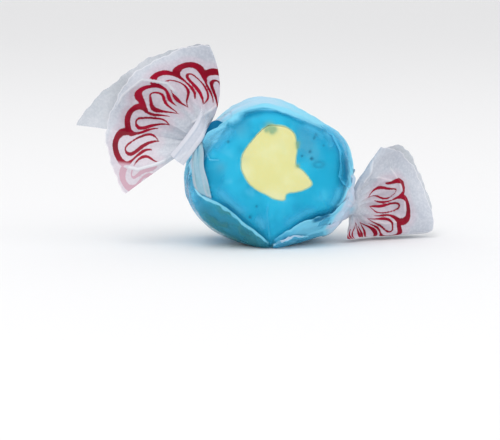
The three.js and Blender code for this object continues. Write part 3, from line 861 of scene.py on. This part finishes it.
def fold_paper(points):
    """Creases and crumples the one sheet, and gives the fields that its paint reads."""
    direction = unit(points)
    facing = on_face(direction)
    front = smooth(1.5, -1.5, points[..., 1])
    # Paleness round the face: milky paper standing off, with a painted sheen on the top.
    white = np.interp(round_front(points), HAZE_AND_SHEEN_TURNS, HAZE_AND_SHEEN_SHARES, period=360)
    inside = HALF_LENGTH - np.abs(points[..., 1])
    white *= smooth(0.05, HAZE_AND_SHEEN_DEPTH, inside) * (0.85 + 0.3 * smooth(HAZE_AND_SHEEN_DEPTH, 3 * HAZE_AND_SHEEN_DEPTH, inside))
    white = np.maximum(white, neck_haze(points))
    # Painted shade low down on the left, where the paper faces down.
    shade = (1 - facing) * front * np.interp(round_front(points), SHADE_TURNS, SHADE_SHARES, period=360)
    gathers = gather_creases(points) * smooth(0.3, 1.6, inside)
    rise = GATHER_CREASE_HEIGHT * gathers
    white = white + GATHER_CREASE_PALE * gathers * (1 - white)
    for side, shown in ((1, front), (-1, 1 - front)):
        for line, height, width, pale in CREASES:
            away, along = line_fields(points * (side, 1, 1), line)
            ridge = bell(away, width) * tapered(along, 0.12) * shown
            rise += height * ridge
            white = np.maximum(white, pale * ridge)
    for line, width, pale in VEILS:
        away, along = line_fields(points, line)
        white = np.maximum(white, pale * bell(away, width) * tapered(along, 0.3) * front)
    # Painted shade in the gaps under the folds and in small hollows.
    tuck_shade = np.zeros(points.shape[:-1])
    for line, offset, width, shares, depths in TUCK_SHADES:
        away, along = line_fields(points, line)
        tuck_shade = np.maximum(tuck_shade, np.interp(along, shares, depths) * bell(away - offset, width) * front)
    for line, depth, width in NOOK_SHADES:
        away, along = line_fields(points, line)
        tuck_shade = np.maximum(tuck_shade, depth * bell(away, width) * front)
    around = SIDE_ARC * np.radians(round_front(points))
    large = crumple(points[..., 0], points[..., 2], seed=11, count=40, size=3.0, slope=0.12)
    small = crumple(points[..., 0], points[..., 2], seed=12, count=120, size=1.2, slope=0.2)
    side_large = crumple(1.6 * points[..., 1], around, seed=13, count=60, size=3.0, slope=0.12)
    side_small = crumple(1.3 * points[..., 1], around, seed=14, count=240, size=1.3, slope=0.22)
    rise += facing * (0.5 * large + 0.3 * small)
    rise += smooth(0.2, 2.4, inside) * np.clip(side_large + side_small, -0.2, 0.35)
    points = points + skin_normal(direction) * rise[..., None]
    stand_off = stand_off_of(points)
    points = points + unit(points) * np.maximum(PAPER_GAP - stand_off, 0)[..., None]
    return on_floor(points), {
        "stand_off": np.maximum(stand_off, 0),
        "white": white,
        "tuck_shade": tuck_shade,
        "shade": shade,
        "ink": np.full_like(tuck_shade, NO_INK),
    }


lay_paper("paper_round_body", *fold_paper(paper_round))


# The folds over the front and the back: plies of the same sheet of tissue, tucked in by the wrapping machine.
# Each runs from its edge, which is doubled under and stands proud, to its far line, where it lies flat.
LAYER_COLUMNS = 260
LIP_ROWS = 12
PLY_ROWS = 56
LIP_GAP = 0.1
LAYER_LIFT = 0.05
PLY_ARC = 11.5
HALVINGS = 26


def face_direction(places, side):
    """The ways to the spots of the rolled sheet that are seen square on at places of one cut face."""
    places = np.array(places, float)
    near = np.full(len(places), side * (HALF_LENGTH + 1))
    far = np.zeros(len(places))
    for _ in range(HALVINGS):
        middle = (near + far) / 2
        spot = np.stack([places[:, 0], middle, places[:, 1]], axis=-1)
        inside = np.linalg.norm(spot, axis=-1) < reach_of(unit(spot), 0, PAPER_SHARPNESS)
        near, far = np.where(inside, near, middle), np.where(inside, middle, far)
    return unit(np.stack([places[:, 0], (near + far) / 2, places[:, 1]], axis=-1))


def waver(draw, count, way, height, waves, shift=0):
    """An uneven line: the sum of so many waves, each of random height, length and start."""
    return sum(
        draw.uniform(*height) * np.sin(way * draw.uniform(*waves) + draw.uniform(0, 6) + shift)
        for _ in range(count)
    )


def lay_ply(name, edge, far, lift, pale, lip_pale, seed, lip, shade=(0,), side=-1, slope=2.2, tuck_shade=None):
    """Lays one ply over the body: under its edge, round it, and out over the body to its far line.

    The edge is seen square on, in mm. The far line is a row of ways from the body's middle. Lift in mm,
    paleness and painted shade stand at even steps along the ply. A tuck shade is a line of painted shade in
    the gap under the ply, with its half width in mm.
    """
    way = np.linspace(0, 1, LAYER_COLUMNS)
    draw = np.random.default_rng(seed)
    edge = through_corners(edge, LAYER_COLUMNS, soft=False)
    edge[:, 1] += waver(draw, 6, way, (0.008, 0.03), (8, 70))
    lip = lip * (1 + waver(draw, 4, way, (0.08, 0.18), (15, 60)))
    edge_way = face_direction(edge, side)
    far_way = unit(through_corners(far, LAYER_COLUMNS))
    reach = PLY_ARC * np.arccos(np.clip(np.sum(edge_way * far_way, axis=1), -1, 1))
    lift = evenly(lift, way) * tapered(way, 0.04)

    rim = np.radians([-60, -30, 0, 30, 60])
    out_mm = LIP_GAP * 0.5 + np.concatenate([
        np.linspace(1, 0, LIP_ROWS)[:, None] * np.minimum(lip, reach),
        (-LIP_GAP * 0.5 * np.cos(rim))[:, None] + 0 * reach,
        np.linspace(0, 1, PLY_ROWS)[:, None] ** 1.6 * reach,
    ])
    layer_gap = np.concatenate([
        np.full(LIP_ROWS, -LIP_GAP),
        0.5 * LIP_GAP * (np.sin(rim) - 1),
        np.zeros(PLY_ROWS),
    ])[:, None]
    share = np.clip(out_mm / reach, 0, 1)[..., None]
    direction = unit(edge_way * (1 - share) + far_way * share)
    puckers = waver(draw, 5, way, (0.01, 0.03), (10, 40), 0.3 * out_mm)
    height = lift * bell(out_mm, slope) * (1 + puckers) + layer_gap * smooth(0, 0.3, lift) + LAYER_LIFT
    skin = direction * reach_of(direction, 0, PAPER_SHARPNESS)[..., None]
    facets = crumple(skin[..., 0], skin[..., 2], seed, count=70, size=1.3, slope=0.22)
    height = height + np.clip(facets * smooth(0.02, 0.3, height), -0.2, 0.2)
    points = skin + skin_normal(direction) * np.maximum(height, 0.04)[..., None]
    near_edge = smooth(1.1 * lip, 0.7 * lip, out_mm)
    pale = evenly(pale, way)
    ends = np.maximum(smooth(0.05, 0, way), smooth(0.9, 1, way))
    dark = np.zeros_like(out_mm)
    if tuck_shade:
        away, along = line_fields(points, tuck_shade[0])
        dark = 0.95 * bell(away, tuck_shade[1], 4) * smooth(0, 0.25, along) * smooth(1, 0.8, along)
    lay_paper(name, on_floor(points), {
        "stand_off": np.zeros_like(out_mm),
        "white": np.maximum(pale + (evenly(lip_pale, way) - pale) * near_edge, neck_haze(points)),
        "tuck_shade": dark,
        "shade": evenly(shade, way) * (1 - 0.8 * near_edge),
        "fade": np.maximum(smooth(0.55, 1, share[..., 0]), ends),
        "ink": np.full_like(out_mm, NO_INK),
    })


# The low left ply, from the left pleat down to the point of the V. Its shade is painted shade, deepest on its
# lower part, which faces down.
lay_ply(
    "paper_low_left_ply", V_LEFT, seed=31, lip=0.34,
    far=[
        (-12.9, -3, -2.8), (-12.4, -3, -4.6), (-11.2, -3, -6.6), (-9.4, -3, -8.4), (-7.0, -3, -9.9),
        (-4.0, -3, -10.8), (-0.4, -4, -11.1),
    ],
    lift=[0.2, 0.5, 0.6, 0.65, 0.6, 0.5, 0.35],
    pale=[0.2],
    lip_pale=[0.6, 0.6, 0.45, 0.4, 0.5, 0.5, 0.45],
    shade=[0.1, 0.3, 0.7, 0.9, 0.8, 0.6, 0.4],
)

# The broad ply on the right of the V, which runs up into the right neck. Its tuck shade is painted shade in
# the dark wedge under it, and it has a little painted shade at its low end.
lay_ply(
    "paper_low_right_ply", V_RIGHT, seed=32, lip=0.26,
    far=[
        (-0.1, -6, -11.1), (1.6, -5, -11.0), (3.6, -4, -10.7), (5.8, -4, -10.0), (8.2, -3, -9.0),
        (10.4, -3, -7.4), (12.0, -3, -5.6), (12.8, -3, -3.8),
    ],
    lift=[0.15, 0.25, 0.45, 0.45, 0.6, 0.5, 0.35, 0.15],
    pale=[0.2, 0.3, 0.4, 0.44, 0.4, 0.4, 0.48, 0.55],
    lip_pale=[0.26, 0.36, 0.48, 0.48, 0.42, 0.46, 0.55, 0.55],
    shade=[0.2, 0, 0, 0, 0, 0, 0, 0],
    tuck_shade=([(5.8, -6.85), (7.4, -6.45), (9.2, -5.7)], 0.42),
)

# The narrow fold that stands out under it, next to the point of the V.
lay_ply(
    "paper_low_fold", [(-0.1, -10.5), (0.9, -9.6), (2.2, -8.9), (3.5, -8.7), (5.3, -9.1), (7.1, -10.0)],
    seed=33, lip=0.5, slope=1.3,
    far=[
        (0.1, -6, -11.1), (1.4, -6, -11.1), (3.0, -5, -10.9), (4.6, -5, -10.6), (6.2, -4, -10.4),
        (7.8, -3, -10.3),
    ],
    lift=[0.2, 0.5, 0.6, 0.55, 0.4, 0.2],
    pale=[0.3, 0.3, 0.3, 0.3, 0.3, 0.25],
    lip_pale=[0.6, 0.75, 0.75, 0.7, 0.5, 0.3],
)

# The fold round the right side of the face, with painted shade in the nook under its edge.
lay_ply(
    "paper_right_fold",
    [(7.4, 8.0), (8.9, 6.5), (10.1, 4.3), (10.4, 2.0), (10.1, 0.3), (10.6, -1.0), (12.2, -2.1)],
    seed=36, lip=0.25, slope=2.5,
    far=[
        (9.6, -4, 9.4), (11.2, -4, 7.4), (12.4, -4, 4.8), (12.9, -4, 2.2), (12.9, -4, 0.4),
        (12.9, -4, -1.0), (12.9, -4, -2.4),
    ],
    lift=[0.05, 0.2, 0.35, 0.15, 0.2, 0.45, 0.2],
    pale=[0.16],
    lip_pale=[0.25, 0.28, 0.28, 0.24, 0.2, 0.25, 0.25],
    tuck_shade=(RIGHT_NOOK, 0.62),
)

# The two plies round the back, one from each neck down to the middle. Their shade is painted shade, deepest
# low down.
lay_ply(
    "paper_back_right_ply",
    [
        (11.6, 0.6), (11.3, -0.9), (10.4, -2.0), (9.9, -3.3), (8.5, -4.7), (7.4, -6.1), (5.6, -7.1),
        (4.3, -8.4), (2.6, -8.9), (1.2, -9.9),
    ],
    seed=41, lip=0.4, side=1,
    far=[(12.9, 3, -1.2), (12.2, 3, -4.8), (9.8, 3, -8.0), (5.6, 3, -10.4), (0.6, 4, -11.1)],
    lift=[0.2, 0.55, 0.7, 0.6, 0.3],
    pale=[0.4, 0.3, 0.22, 0.2, 0.2],
    lip_pale=[0.6, 0.55, 0.5, 0.45, 0.4],
    shade=[0, 0, 0.2, 0.4, 0.3],
)
lay_ply(
    "paper_back_left_ply",
    [
        (-10.4, 4.4), (-10.9, 2.4), (-10.4, 0.6), (-10.3, -1.4), (-9.2, -3.3), (-8.5, -5.0), (-6.6, -6.5),
        (-5.1, -8.2), (-3.2, -8.7), (-1.4, -9.7),
    ],
    seed=42, lip=0.35, side=1,
    far=[(-12.8, 3, 3.0), (-13.0, 3, -1.6), (-11.4, 3, -6.2), (-7.0, 3, -9.8), (-1.6, 4, -11.0)],
    lift=[0.2, 0.4, 0.6, 0.6, 0.3],
    pale=[0.4, 0.3, 0.24, 0.2, 0.2],
    lip_pale=[0.6, 0.5, 0.45, 0.45, 0.4],
    shade=[0, 0, 0.1, 0.3, 0.3],
)


# The folds on the left: strips and facets of the same tissue, creased by the twisting where the sheet
# turns into the left neck. Their edges are turned under, but for those that lie on the body and fade into it.
STRIP_ROWS = 40
STRIP_COLUMNS = 150
STRIP_SEED = 51
HEM_ROWS = 8
HEM = 0.3
CREASE_SHADE_LINE_WIDTH = 0.06


def lay_strip(
    name, first, second, puff, pale, hem_pale, ends,
    fan=0, fades=(0, 0), tuck_shade=0, shade=0, streaks=0, crease_shade_line=(0.5, 0, 0),
):
    """Lays one folded strip of paper between its two lines in space, a little puffed up between them.

    Fades says how far each edge fades out, and ends over which share of its length the strip does. A line
    of painted crease shade runs at some share of the way across, so dark, and so far along.
    """
    way = np.linspace(0, 1, STRIP_COLUMNS)
    first = through_corners(first, STRIP_COLUMNS)
    second = through_corners(second, STRIP_COLUMNS)
    across = np.concatenate([
        np.linspace(HEM, 0, HEM_ROWS), np.linspace(0, 1, STRIP_ROWS), np.linspace(1, 1 - HEM, HEM_ROWS),
    ])[:, None]
    under = np.array([-LIP_GAP] * (HEM_ROWS - 1) + [-0.5 * LIP_GAP])
    hem_gap = np.concatenate([under, np.zeros(STRIP_ROWS), under[::-1]])[:, None]
    spots = first * (1 - across[..., None]) + second * across[..., None]
    out = unit(np.cross(second - first, np.gradient((first + second) / 2, axis=0)))
    out = out * -np.sign(out[:, 1:2])
    bulge = puff * np.sin(math.pi * across) ** 0.8 * (1 + 0.25 * np.sin(5 * way + 4 * across))
    facets = crumple(spots[..., 0], spots[..., 2], STRIP_SEED, count=20, size=1.3, slope=0.2)
    points = spots + out * (bulge + hem_gap + facets * np.sin(math.pi * across))[..., None]
    flat = np.zeros(points.shape[:-1])
    hem = 1 - smooth(0.8 * HEM, HEM, np.minimum(across, 1 - across))
    faded = np.maximum(fades[0] * (1 - across), fades[1] * across) ** 0.8
    hem = hem * (1 - faded) ** 2
    streak = 0.08 * np.sin(12 * across + 2 * np.sin(4 * way)) + 0.05 * np.sin(31 * across + 3 * way)
    streak *= streaks * (0.6 + 0.5 * np.sin(9 * way + 7 * across))
    place, depth, last = crease_shade_line
    dark = depth * bell(across - place, CREASE_SHADE_LINE_WIDTH) * smooth(last, last - 0.35, way)
    at_ends = np.maximum(smooth(ends[0], -0.001, way), smooth(1 - ends[1], 1.001, way))
    lay_paper(name, points, {
        "white": pale + (hem_pale - pale) * hem + streak,
        "tuck_shade": tuck_shade + dark,
        "shade": shade * (1 - 2 * streak),
        "fan": fan + flat,
        "fade": np.maximum(faded, at_ends),
        "ink": NO_INK + flat,
    })


# A strip of painted shade: the dark hollow above the left shoulder, where the paper dips into the neck.
lay_strip(
    "paper_left_hollow_shade", puff=-0.1, pale=0.3, hem_pale=0.3, ends=(0.04, 0.04), tuck_shade=1,
    first=[(-10.9, -6.5, 6.3), (-10.0, -6.3, 7.6), (-9.3, -6.2, 8.6), (-8.3, -6.4, 8.8), (-7.2, -7.9, 8.3)],
    second=[(-10.3, -6.9, 5.7), (-10.0, -6.8, 6.6), (-9.3, -7.0, 7.1), (-8.4, -7.3, 7.5), (-7.1, -8.1, 8.0)],
)

# The shoulder: a facet from the neck to the face, with a pale crease above it.
lay_strip(
    "paper_left_shoulder", puff=0.1, pale=0.36, hem_pale=0.5, ends=(0.04, 0.1), fades=(0, 1), streaks=0.2,
    first=[(-10.8, -7.4, 5.6), (-10.7, -7.4, 6.0), (-10.1, -7.4, 7.0), (-8.9, -7.8, 7.7), (-7.4, -8.4, 8.3)],
    second=[(-10.6, -9.3, 4.6), (-10.2, -9.4, 4.9), (-9.5, -9.5, 5.1), (-7.7, -9.5, 6.1), (-5.8, -9.5, 7.6)],
)

# The doubled pleat down the left side of the face, with a line of painted shade in its crease.
lay_strip(
    "paper_left_pleat", puff=0.35, pale=0.52, hem_pale=0.68, ends=(0.04, 0.06), fan=0.5, shade=0.25,
    streaks=1, crease_shade_line=(0.6, 0.9, 0.45),
    first=[
        (-11.5, -6.8, 5.6), (-12.3, -6.8, 4.0), (-12.5, -6.9, 1.6), (-12.3, -7.4, -1.0), (-11.6, -8.4, -2.3),
    ],
    second=[
        (-10.9, -7.2, 5.6), (-10.8, -8.8, 4.1), (-10.8, -9.6, 1.9), (-10.2, -9.8, -0.4), (-9.6, -9.7, -3.2),
    ],
)

# The flap folded over the left neck, with a faint line of painted shade along its crease.
lay_strip(
    "paper_left_flap", puff=0.4, pale=0.85, hem_pale=1.0, ends=(0, 0.4), fan=0.8, streaks=0.3,
    crease_shade_line=(0.3, 0.12, 1.4),
    first=[
        (-15.8, -6.9, 3.6), (-14.4, -7.3, 5.3), (-13.0, -7.4, 7.1), (-11.6, -7.0, 9.2), (-10.5, -6.4, 12.0),
    ],
    second=[
        (-13.8, -7.3, 1.9), (-12.7, -7.8, 3.5), (-11.7, -7.9, 4.8), (-10.6, -7.6, 6.4), (-9.6, -6.8, 9.2),
    ],
)


# The left twist: the sheet's left end, gathered in pleats, twisted tight by the machine and fanned out.
# The fan is two layers of tissue that meet in a fold next to the body. It stands up and a little forwards.
NECK_RADIUS = 1.3
NECK_RISE = 1.3
GATHER_RADIUS = 5.6
GATHER_ROWS = 36
FAN_ROWS = 130
FOLD_CROWDING = 0.18
FOLD_ROUNDNESS = 0.1
LAYERS_AT_NECK = 0.35
FAN_STAND_OFF = 1.6
BACK_LAYER_SHADE = 0.12
CREASE_WIDTH = 0.5
PRINT_GAP = 0.26
# Waves round the fan: height in mm, waves in a whole turn, and how far the two layers are out of step.
# The teeth run along the torn edge. The pleats also twist on their way out, and a power rounds them.
TEETH = [(0.14, 9, 1), (0.1, 23, 2), (0.06, 57, 5)]
FAN_PLEATS = [(1, 3.7, 1.1, 0, 0.8), (0.5, 7.1, 0.5, 0, 1), (0.35, 12.3, 0.8, 1.5, 1)]
# Angles are in degrees in the fan's own plane, from the way across, and lengths in mm. The fan points at its
# heading, and its layers run from the fold to the back edge and the front edge. Swing turns the plane, bend
# curls the fan near the neck, open parts the layers and wave ripples them. The print leaves a blank next to
# the fold, and beyond ghost_from it shows pale through the sheet. Each crease has its line on the fan, its
# height, and whether it hides the print.
LEFT_FAN = {
    "side": -1, "way": left_way, "heading": 152, "swing": 8, "fold": 84, "back_edge": 175, "front_edge": 217,
    "bend": 40, "open": 0.9, "wave": 1.1, "seed": 20,
    "print_radius": 7.5, "print_drift": 1.7, "blank": 0, "ghost_from": 197,
    "creases": [
        ([(-14.2, 2.1), (-12.0, 6.5), (-9.1, 8.8), (-5.9, 7.8), (-4.3, 5.3), (-4.6, 3.4)], 0.6, 1),
        ([(-13.2, -4.4), (-9.5, -4.9), (-6.5, -3.9), (-3.2, -2.3)], 0.5, 1),
        ([(-3.2, 0.2), (-1.2, 2.6), (0.6, 5.5), (1.8, 9.0)], 0.45, 0),
    ],
}


def left_back_reach(angle):
    return 14.3 + 5.7 * (np.abs(angle - 100) / 76) ** 2.6


def left_front_reach(angle):
    return 13.9 + 0.8 * bell(angle - 185, 40)


def flat_way(fan, angle):
    """A direction in the fan's own plane, at so many degrees from the way across."""
    swing = math.radians(fan["side"] * fan["swing"])
    across = np.array([math.cos(swing), math.sin(swing), 0])
    angle = np.radians(np.asarray(angle, float))[..., None]
    return across * np.cos(angle) + np.array([0, 0, 1]) * np.sin(angle)


def fan_back(fan):
    """The way straight back out of the fan's plane."""
    return np.cross([0, 0, 1], flat_way(fan, 0))


def gather_points(fan):
    """The pleated cone from the body's skin out to the twist, as rows of points."""
    way, turn = np.meshgrid(np.linspace(0, 1, GATHER_ROWS + 1)[1:], SHEET_TURNS, indexing="ij")
    first = across_to(fan["way"], seam_way)
    second = across_to(fan["way"], quarter_way)
    fold_way = across_to(flat_way(fan, fan["heading"]), flat_way(fan, fan["fold"]))
    start_angle = math.atan2(-fold_way @ second, -fold_way @ first)
    on_body = body_points(fan["side"], GATHER_ANGLE * (1 - 0.75 * way), turn)
    twisted = turn + start_angle * way
    radius = GATHER_RADIUS + (NECK_RADIUS - GATHER_RADIUS) * way ** 0.6 + overlap_lift(turn)
    on_neck = (
        fan["way"] * (reach_of(fan["way"], 0, PAPER_SHARPNESS) + NECK_RISE * way ** 1.6)[..., None]
        + first * (radius * np.cos(twisted))[..., None]
        + second * (radius * np.sin(twisted))[..., None]
    )
    share = smooth(0, 0.75, way)[..., None]
    return on_body * (1 - share) + on_neck * share


def fan_points(fan, back_reach, front_reach):
    """The two-layered fan from the twist out to its cut edge, and the fields that its paint reads."""
    way, turn = np.meshgrid(np.linspace(0, 1, FAN_ROWS + 1)[1:], SHEET_TURNS, indexing="ij")
    share = 2 * turn / WHOLE_TURN
    layer_side = np.where(share < 1, 1.0, -1.0)
    at_back = layer_side > 0
    from_fold = np.abs(1 - share)
    spread = (1 + FOLD_CROWDING) * from_fold ** 2 / (from_fold + FOLD_CROWDING)
    angle = fan["fold"] + (np.where(at_back, fan["back_edge"], fan["front_edge"]) - fan["fold"]) * spread
    bearing = np.radians(angle)
    at_fold = back_reach(fan["fold"])
    own_reach = np.where(at_back, back_reach(angle), front_reach(angle))
    full = at_fold + (own_reach - at_fold) * smooth(0, 0.35, from_fold)
    torn = sum(height * np.sin(bearing * waves + differ * layer_side) for height, waves, differ in TEETH)
    radius = (full + torn * way ** 6) * way ** 1.15
    flat_u = radius * np.cos(bearing)
    flat_v = radius * np.sin(bearing)

    layer = layer_side * (1 + FOLD_ROUNDNESS) * from_fold / (from_fold + FOLD_ROUNDNESS)
    ripple = way * np.sin(bearing * 4.5) + 0.5 * np.sin(way * 7 + 2 * bearing)
    pleats = sum(
        height * np.abs(np.sin(bearing * waves + differ * layer_side + twist * way)) ** power
        for height, waves, differ, twist, power in FAN_PLEATS
    )
    depth = fan["open"] * layer * (LAYERS_AT_NECK + (1 - LAYERS_AT_NECK) * way) + fan["wave"] * way * ripple
    depth += 0.5 * pleats * smooth(0, 0.25, way) * (1 - smooth(0.3, 1.1, way))
    depth += crumple(flat_u, flat_v, fan["seed"], count=34, size=4.0, slope=0.16)
    depth += crumple(flat_u, flat_v + 40 * at_back, fan["seed"] + 1, count=90, size=1.6, slope=0.12)
    # A painted highlight along the front layer's cut edge and along its creases.
    pale = bell((1 - way) * full, 0.4) * ~at_back
    hidden = np.zeros_like(pale)
    for line, height, hides in fan["creases"]:
        away, along = line_fields(np.stack([flat_u, flat_u, flat_v], axis=-1), line)
        shown = tapered(along, 0.25) * ~at_back
        depth -= height * shown * np.exp(-np.abs(away) / CREASE_WIDTH)
        pale = np.maximum(pale, shown * bell(away, CREASE_WIDTH))
        hidden = np.maximum(hidden, hides * shown * bell(away, PRINT_GAP, 4))

    back = fan_back(fan)
    bent = angle - fan["bend"] * (1 - way) * (1 - spread)
    neck_tip = fan["way"] * (reach_of(fan["way"], 0, PAPER_SHARPNESS) + NECK_RISE)
    spots = neck_tip + flat_way(fan, bent) * radius[..., None] + back * depth[..., None]
    fold_way = across_to(flat_way(fan, fan["heading"]), flat_way(fan, fan["fold"]))
    ring = NECK_RADIUS * (1 - way) ** 2
    around = 2 * math.pi * turn / WHOLE_TURN
    spots = spots - fold_way * (ring * np.cos(around))[..., None] + back * (ring * np.sin(around))[..., None]

    along = np.radians(angle - fan["fold"]) * fan["print_radius"] * layer_side
    along = along + 0.4 * np.sin(0.7 * along + radius)
    print_middle = fan["print_radius"] + fan["print_drift"] * np.abs(angle - fan["fold"]) / 90
    ink = ink_distance(along, radius - print_middle + 0.5 * np.sin(along * 0.5), fan["blank"])
    ghost_edge = fan["ghost_from"] + 2.2 * (13.5 - radius)
    plain = np.zeros_like(pale)
    return spots, {
        "stand_off": plain + FAN_STAND_OFF,
        "white": pale,
        "tuck_shade": plain,
        "shade": BACK_LAYER_SHADE * at_back * smooth(0, 0.3, from_fold),
        "fan": plain + 1,
        "ink": ink + 1.5 * smooth(0.4, 0.9, hidden),
        "ghost": smooth(-1.5, 1.5, angle - ghost_edge),
    }


def lay_twist(name, fan, back_reach, front_reach, settle=None):
    """One whole twist: the gathers out of the body and up the neck, and the fan, in one piece of paper."""
    body_row = body_points(fan["side"], np.full(SHEET_COLUMNS, GATHER_ANGLE), SHEET_TURNS)
    body_row = body_row + unit(body_row) * overlap_lift(SHEET_TURNS)[:, None]
    near_body, near_fields = fold_paper(np.concatenate([body_row[None], gather_points(fan)]))
    near_fields["fan"] = smooth(1.0, 2.4, near_fields["stand_off"])
    near_fields["ghost"] = np.zeros(near_body.shape[:-1])
    fanned, fan_fields = fan_points(fan, back_reach, front_reach)
    if settle:
        fanned = settle(fanned)
    fields = {field: np.concatenate([near_fields[field], values]) for field, values in fan_fields.items()}
    lay_paper(name, np.concatenate([near_body, on_floor(fanned)]), fields)


lay_twist("paper_left_twist", LEFT_FAN, left_back_reach, left_front_reach)


# The right twist: the sheet's right end, of the same tissue, gathered and twisted like the left one.
# It hangs. Its fan leans back, and its lower part meets the table, bends and lies along it.
RIGHT_FAN = {
    "side": 1, "way": right_way, "heading": -14, "swing": 25, "fold": 62, "back_edge": -84, "front_edge": -98,
    "bend": -7, "open": 0.9, "wave": 1.0, "seed": 26,
    "print_radius": 6.6, "print_drift": 0, "blank": 4.5, "ghost_from": 400,
    "creases": [
        ([(2.5, 3.6), (5.0, 4.0), (8.0, 3.2), (11.5, 3.4)], 0.4, 0),
        ([(5.8, 8.0), (8.2, 4.5), (9.6, 0.0), (10.0, -4.0)], 0.5, 0),
        ([(1.5, 1.8), (3.2, 4.6), (4.0, 8.6)], 0.4, 1),
        ([(2.0, -2.2), (6.0, -3.3), (10.0, -3.2)], 0.4, 0),
    ],
}
FAN_FLOOR = 0.4
TABLE_BEND = 1.1
TABLE_SLIDE = 0.8
BEND_STARTS = 4


def right_back_reach(angle):
    """Longest at the upper corner, which is rounded off towards the fold, and shorter low down."""
    corner = 3.2 * np.exp((angle - RIGHT_FAN["fold"]) / 6)
    low = 12 * (1 - smooth(-80, -12, angle))
    return 16.1 - 0.045 * angle - corner - low + 1.1 * bell(angle - 48, 16)


def right_front_reach(angle):
    return right_back_reach(angle) - 1.4


def lay_on_table(spots):
    """Where the fan would go through the table it bends and lies along it."""
    height = spots[..., 2] + BODY_RISE - FAN_FLOOR
    extra = 0.5 * (height + np.hypot(height, TABLE_BEND)) - height
    extra = np.where(height > BEND_STARTS, 0, extra)
    laid = spots + fan_back(RIGHT_FAN) * (extra * TABLE_SLIDE)[..., None]
    laid[..., 2] += extra
    return laid


lay_twist("paper_right_twist", RIGHT_FAN, right_back_reach, right_front_reach, lay_on_table)
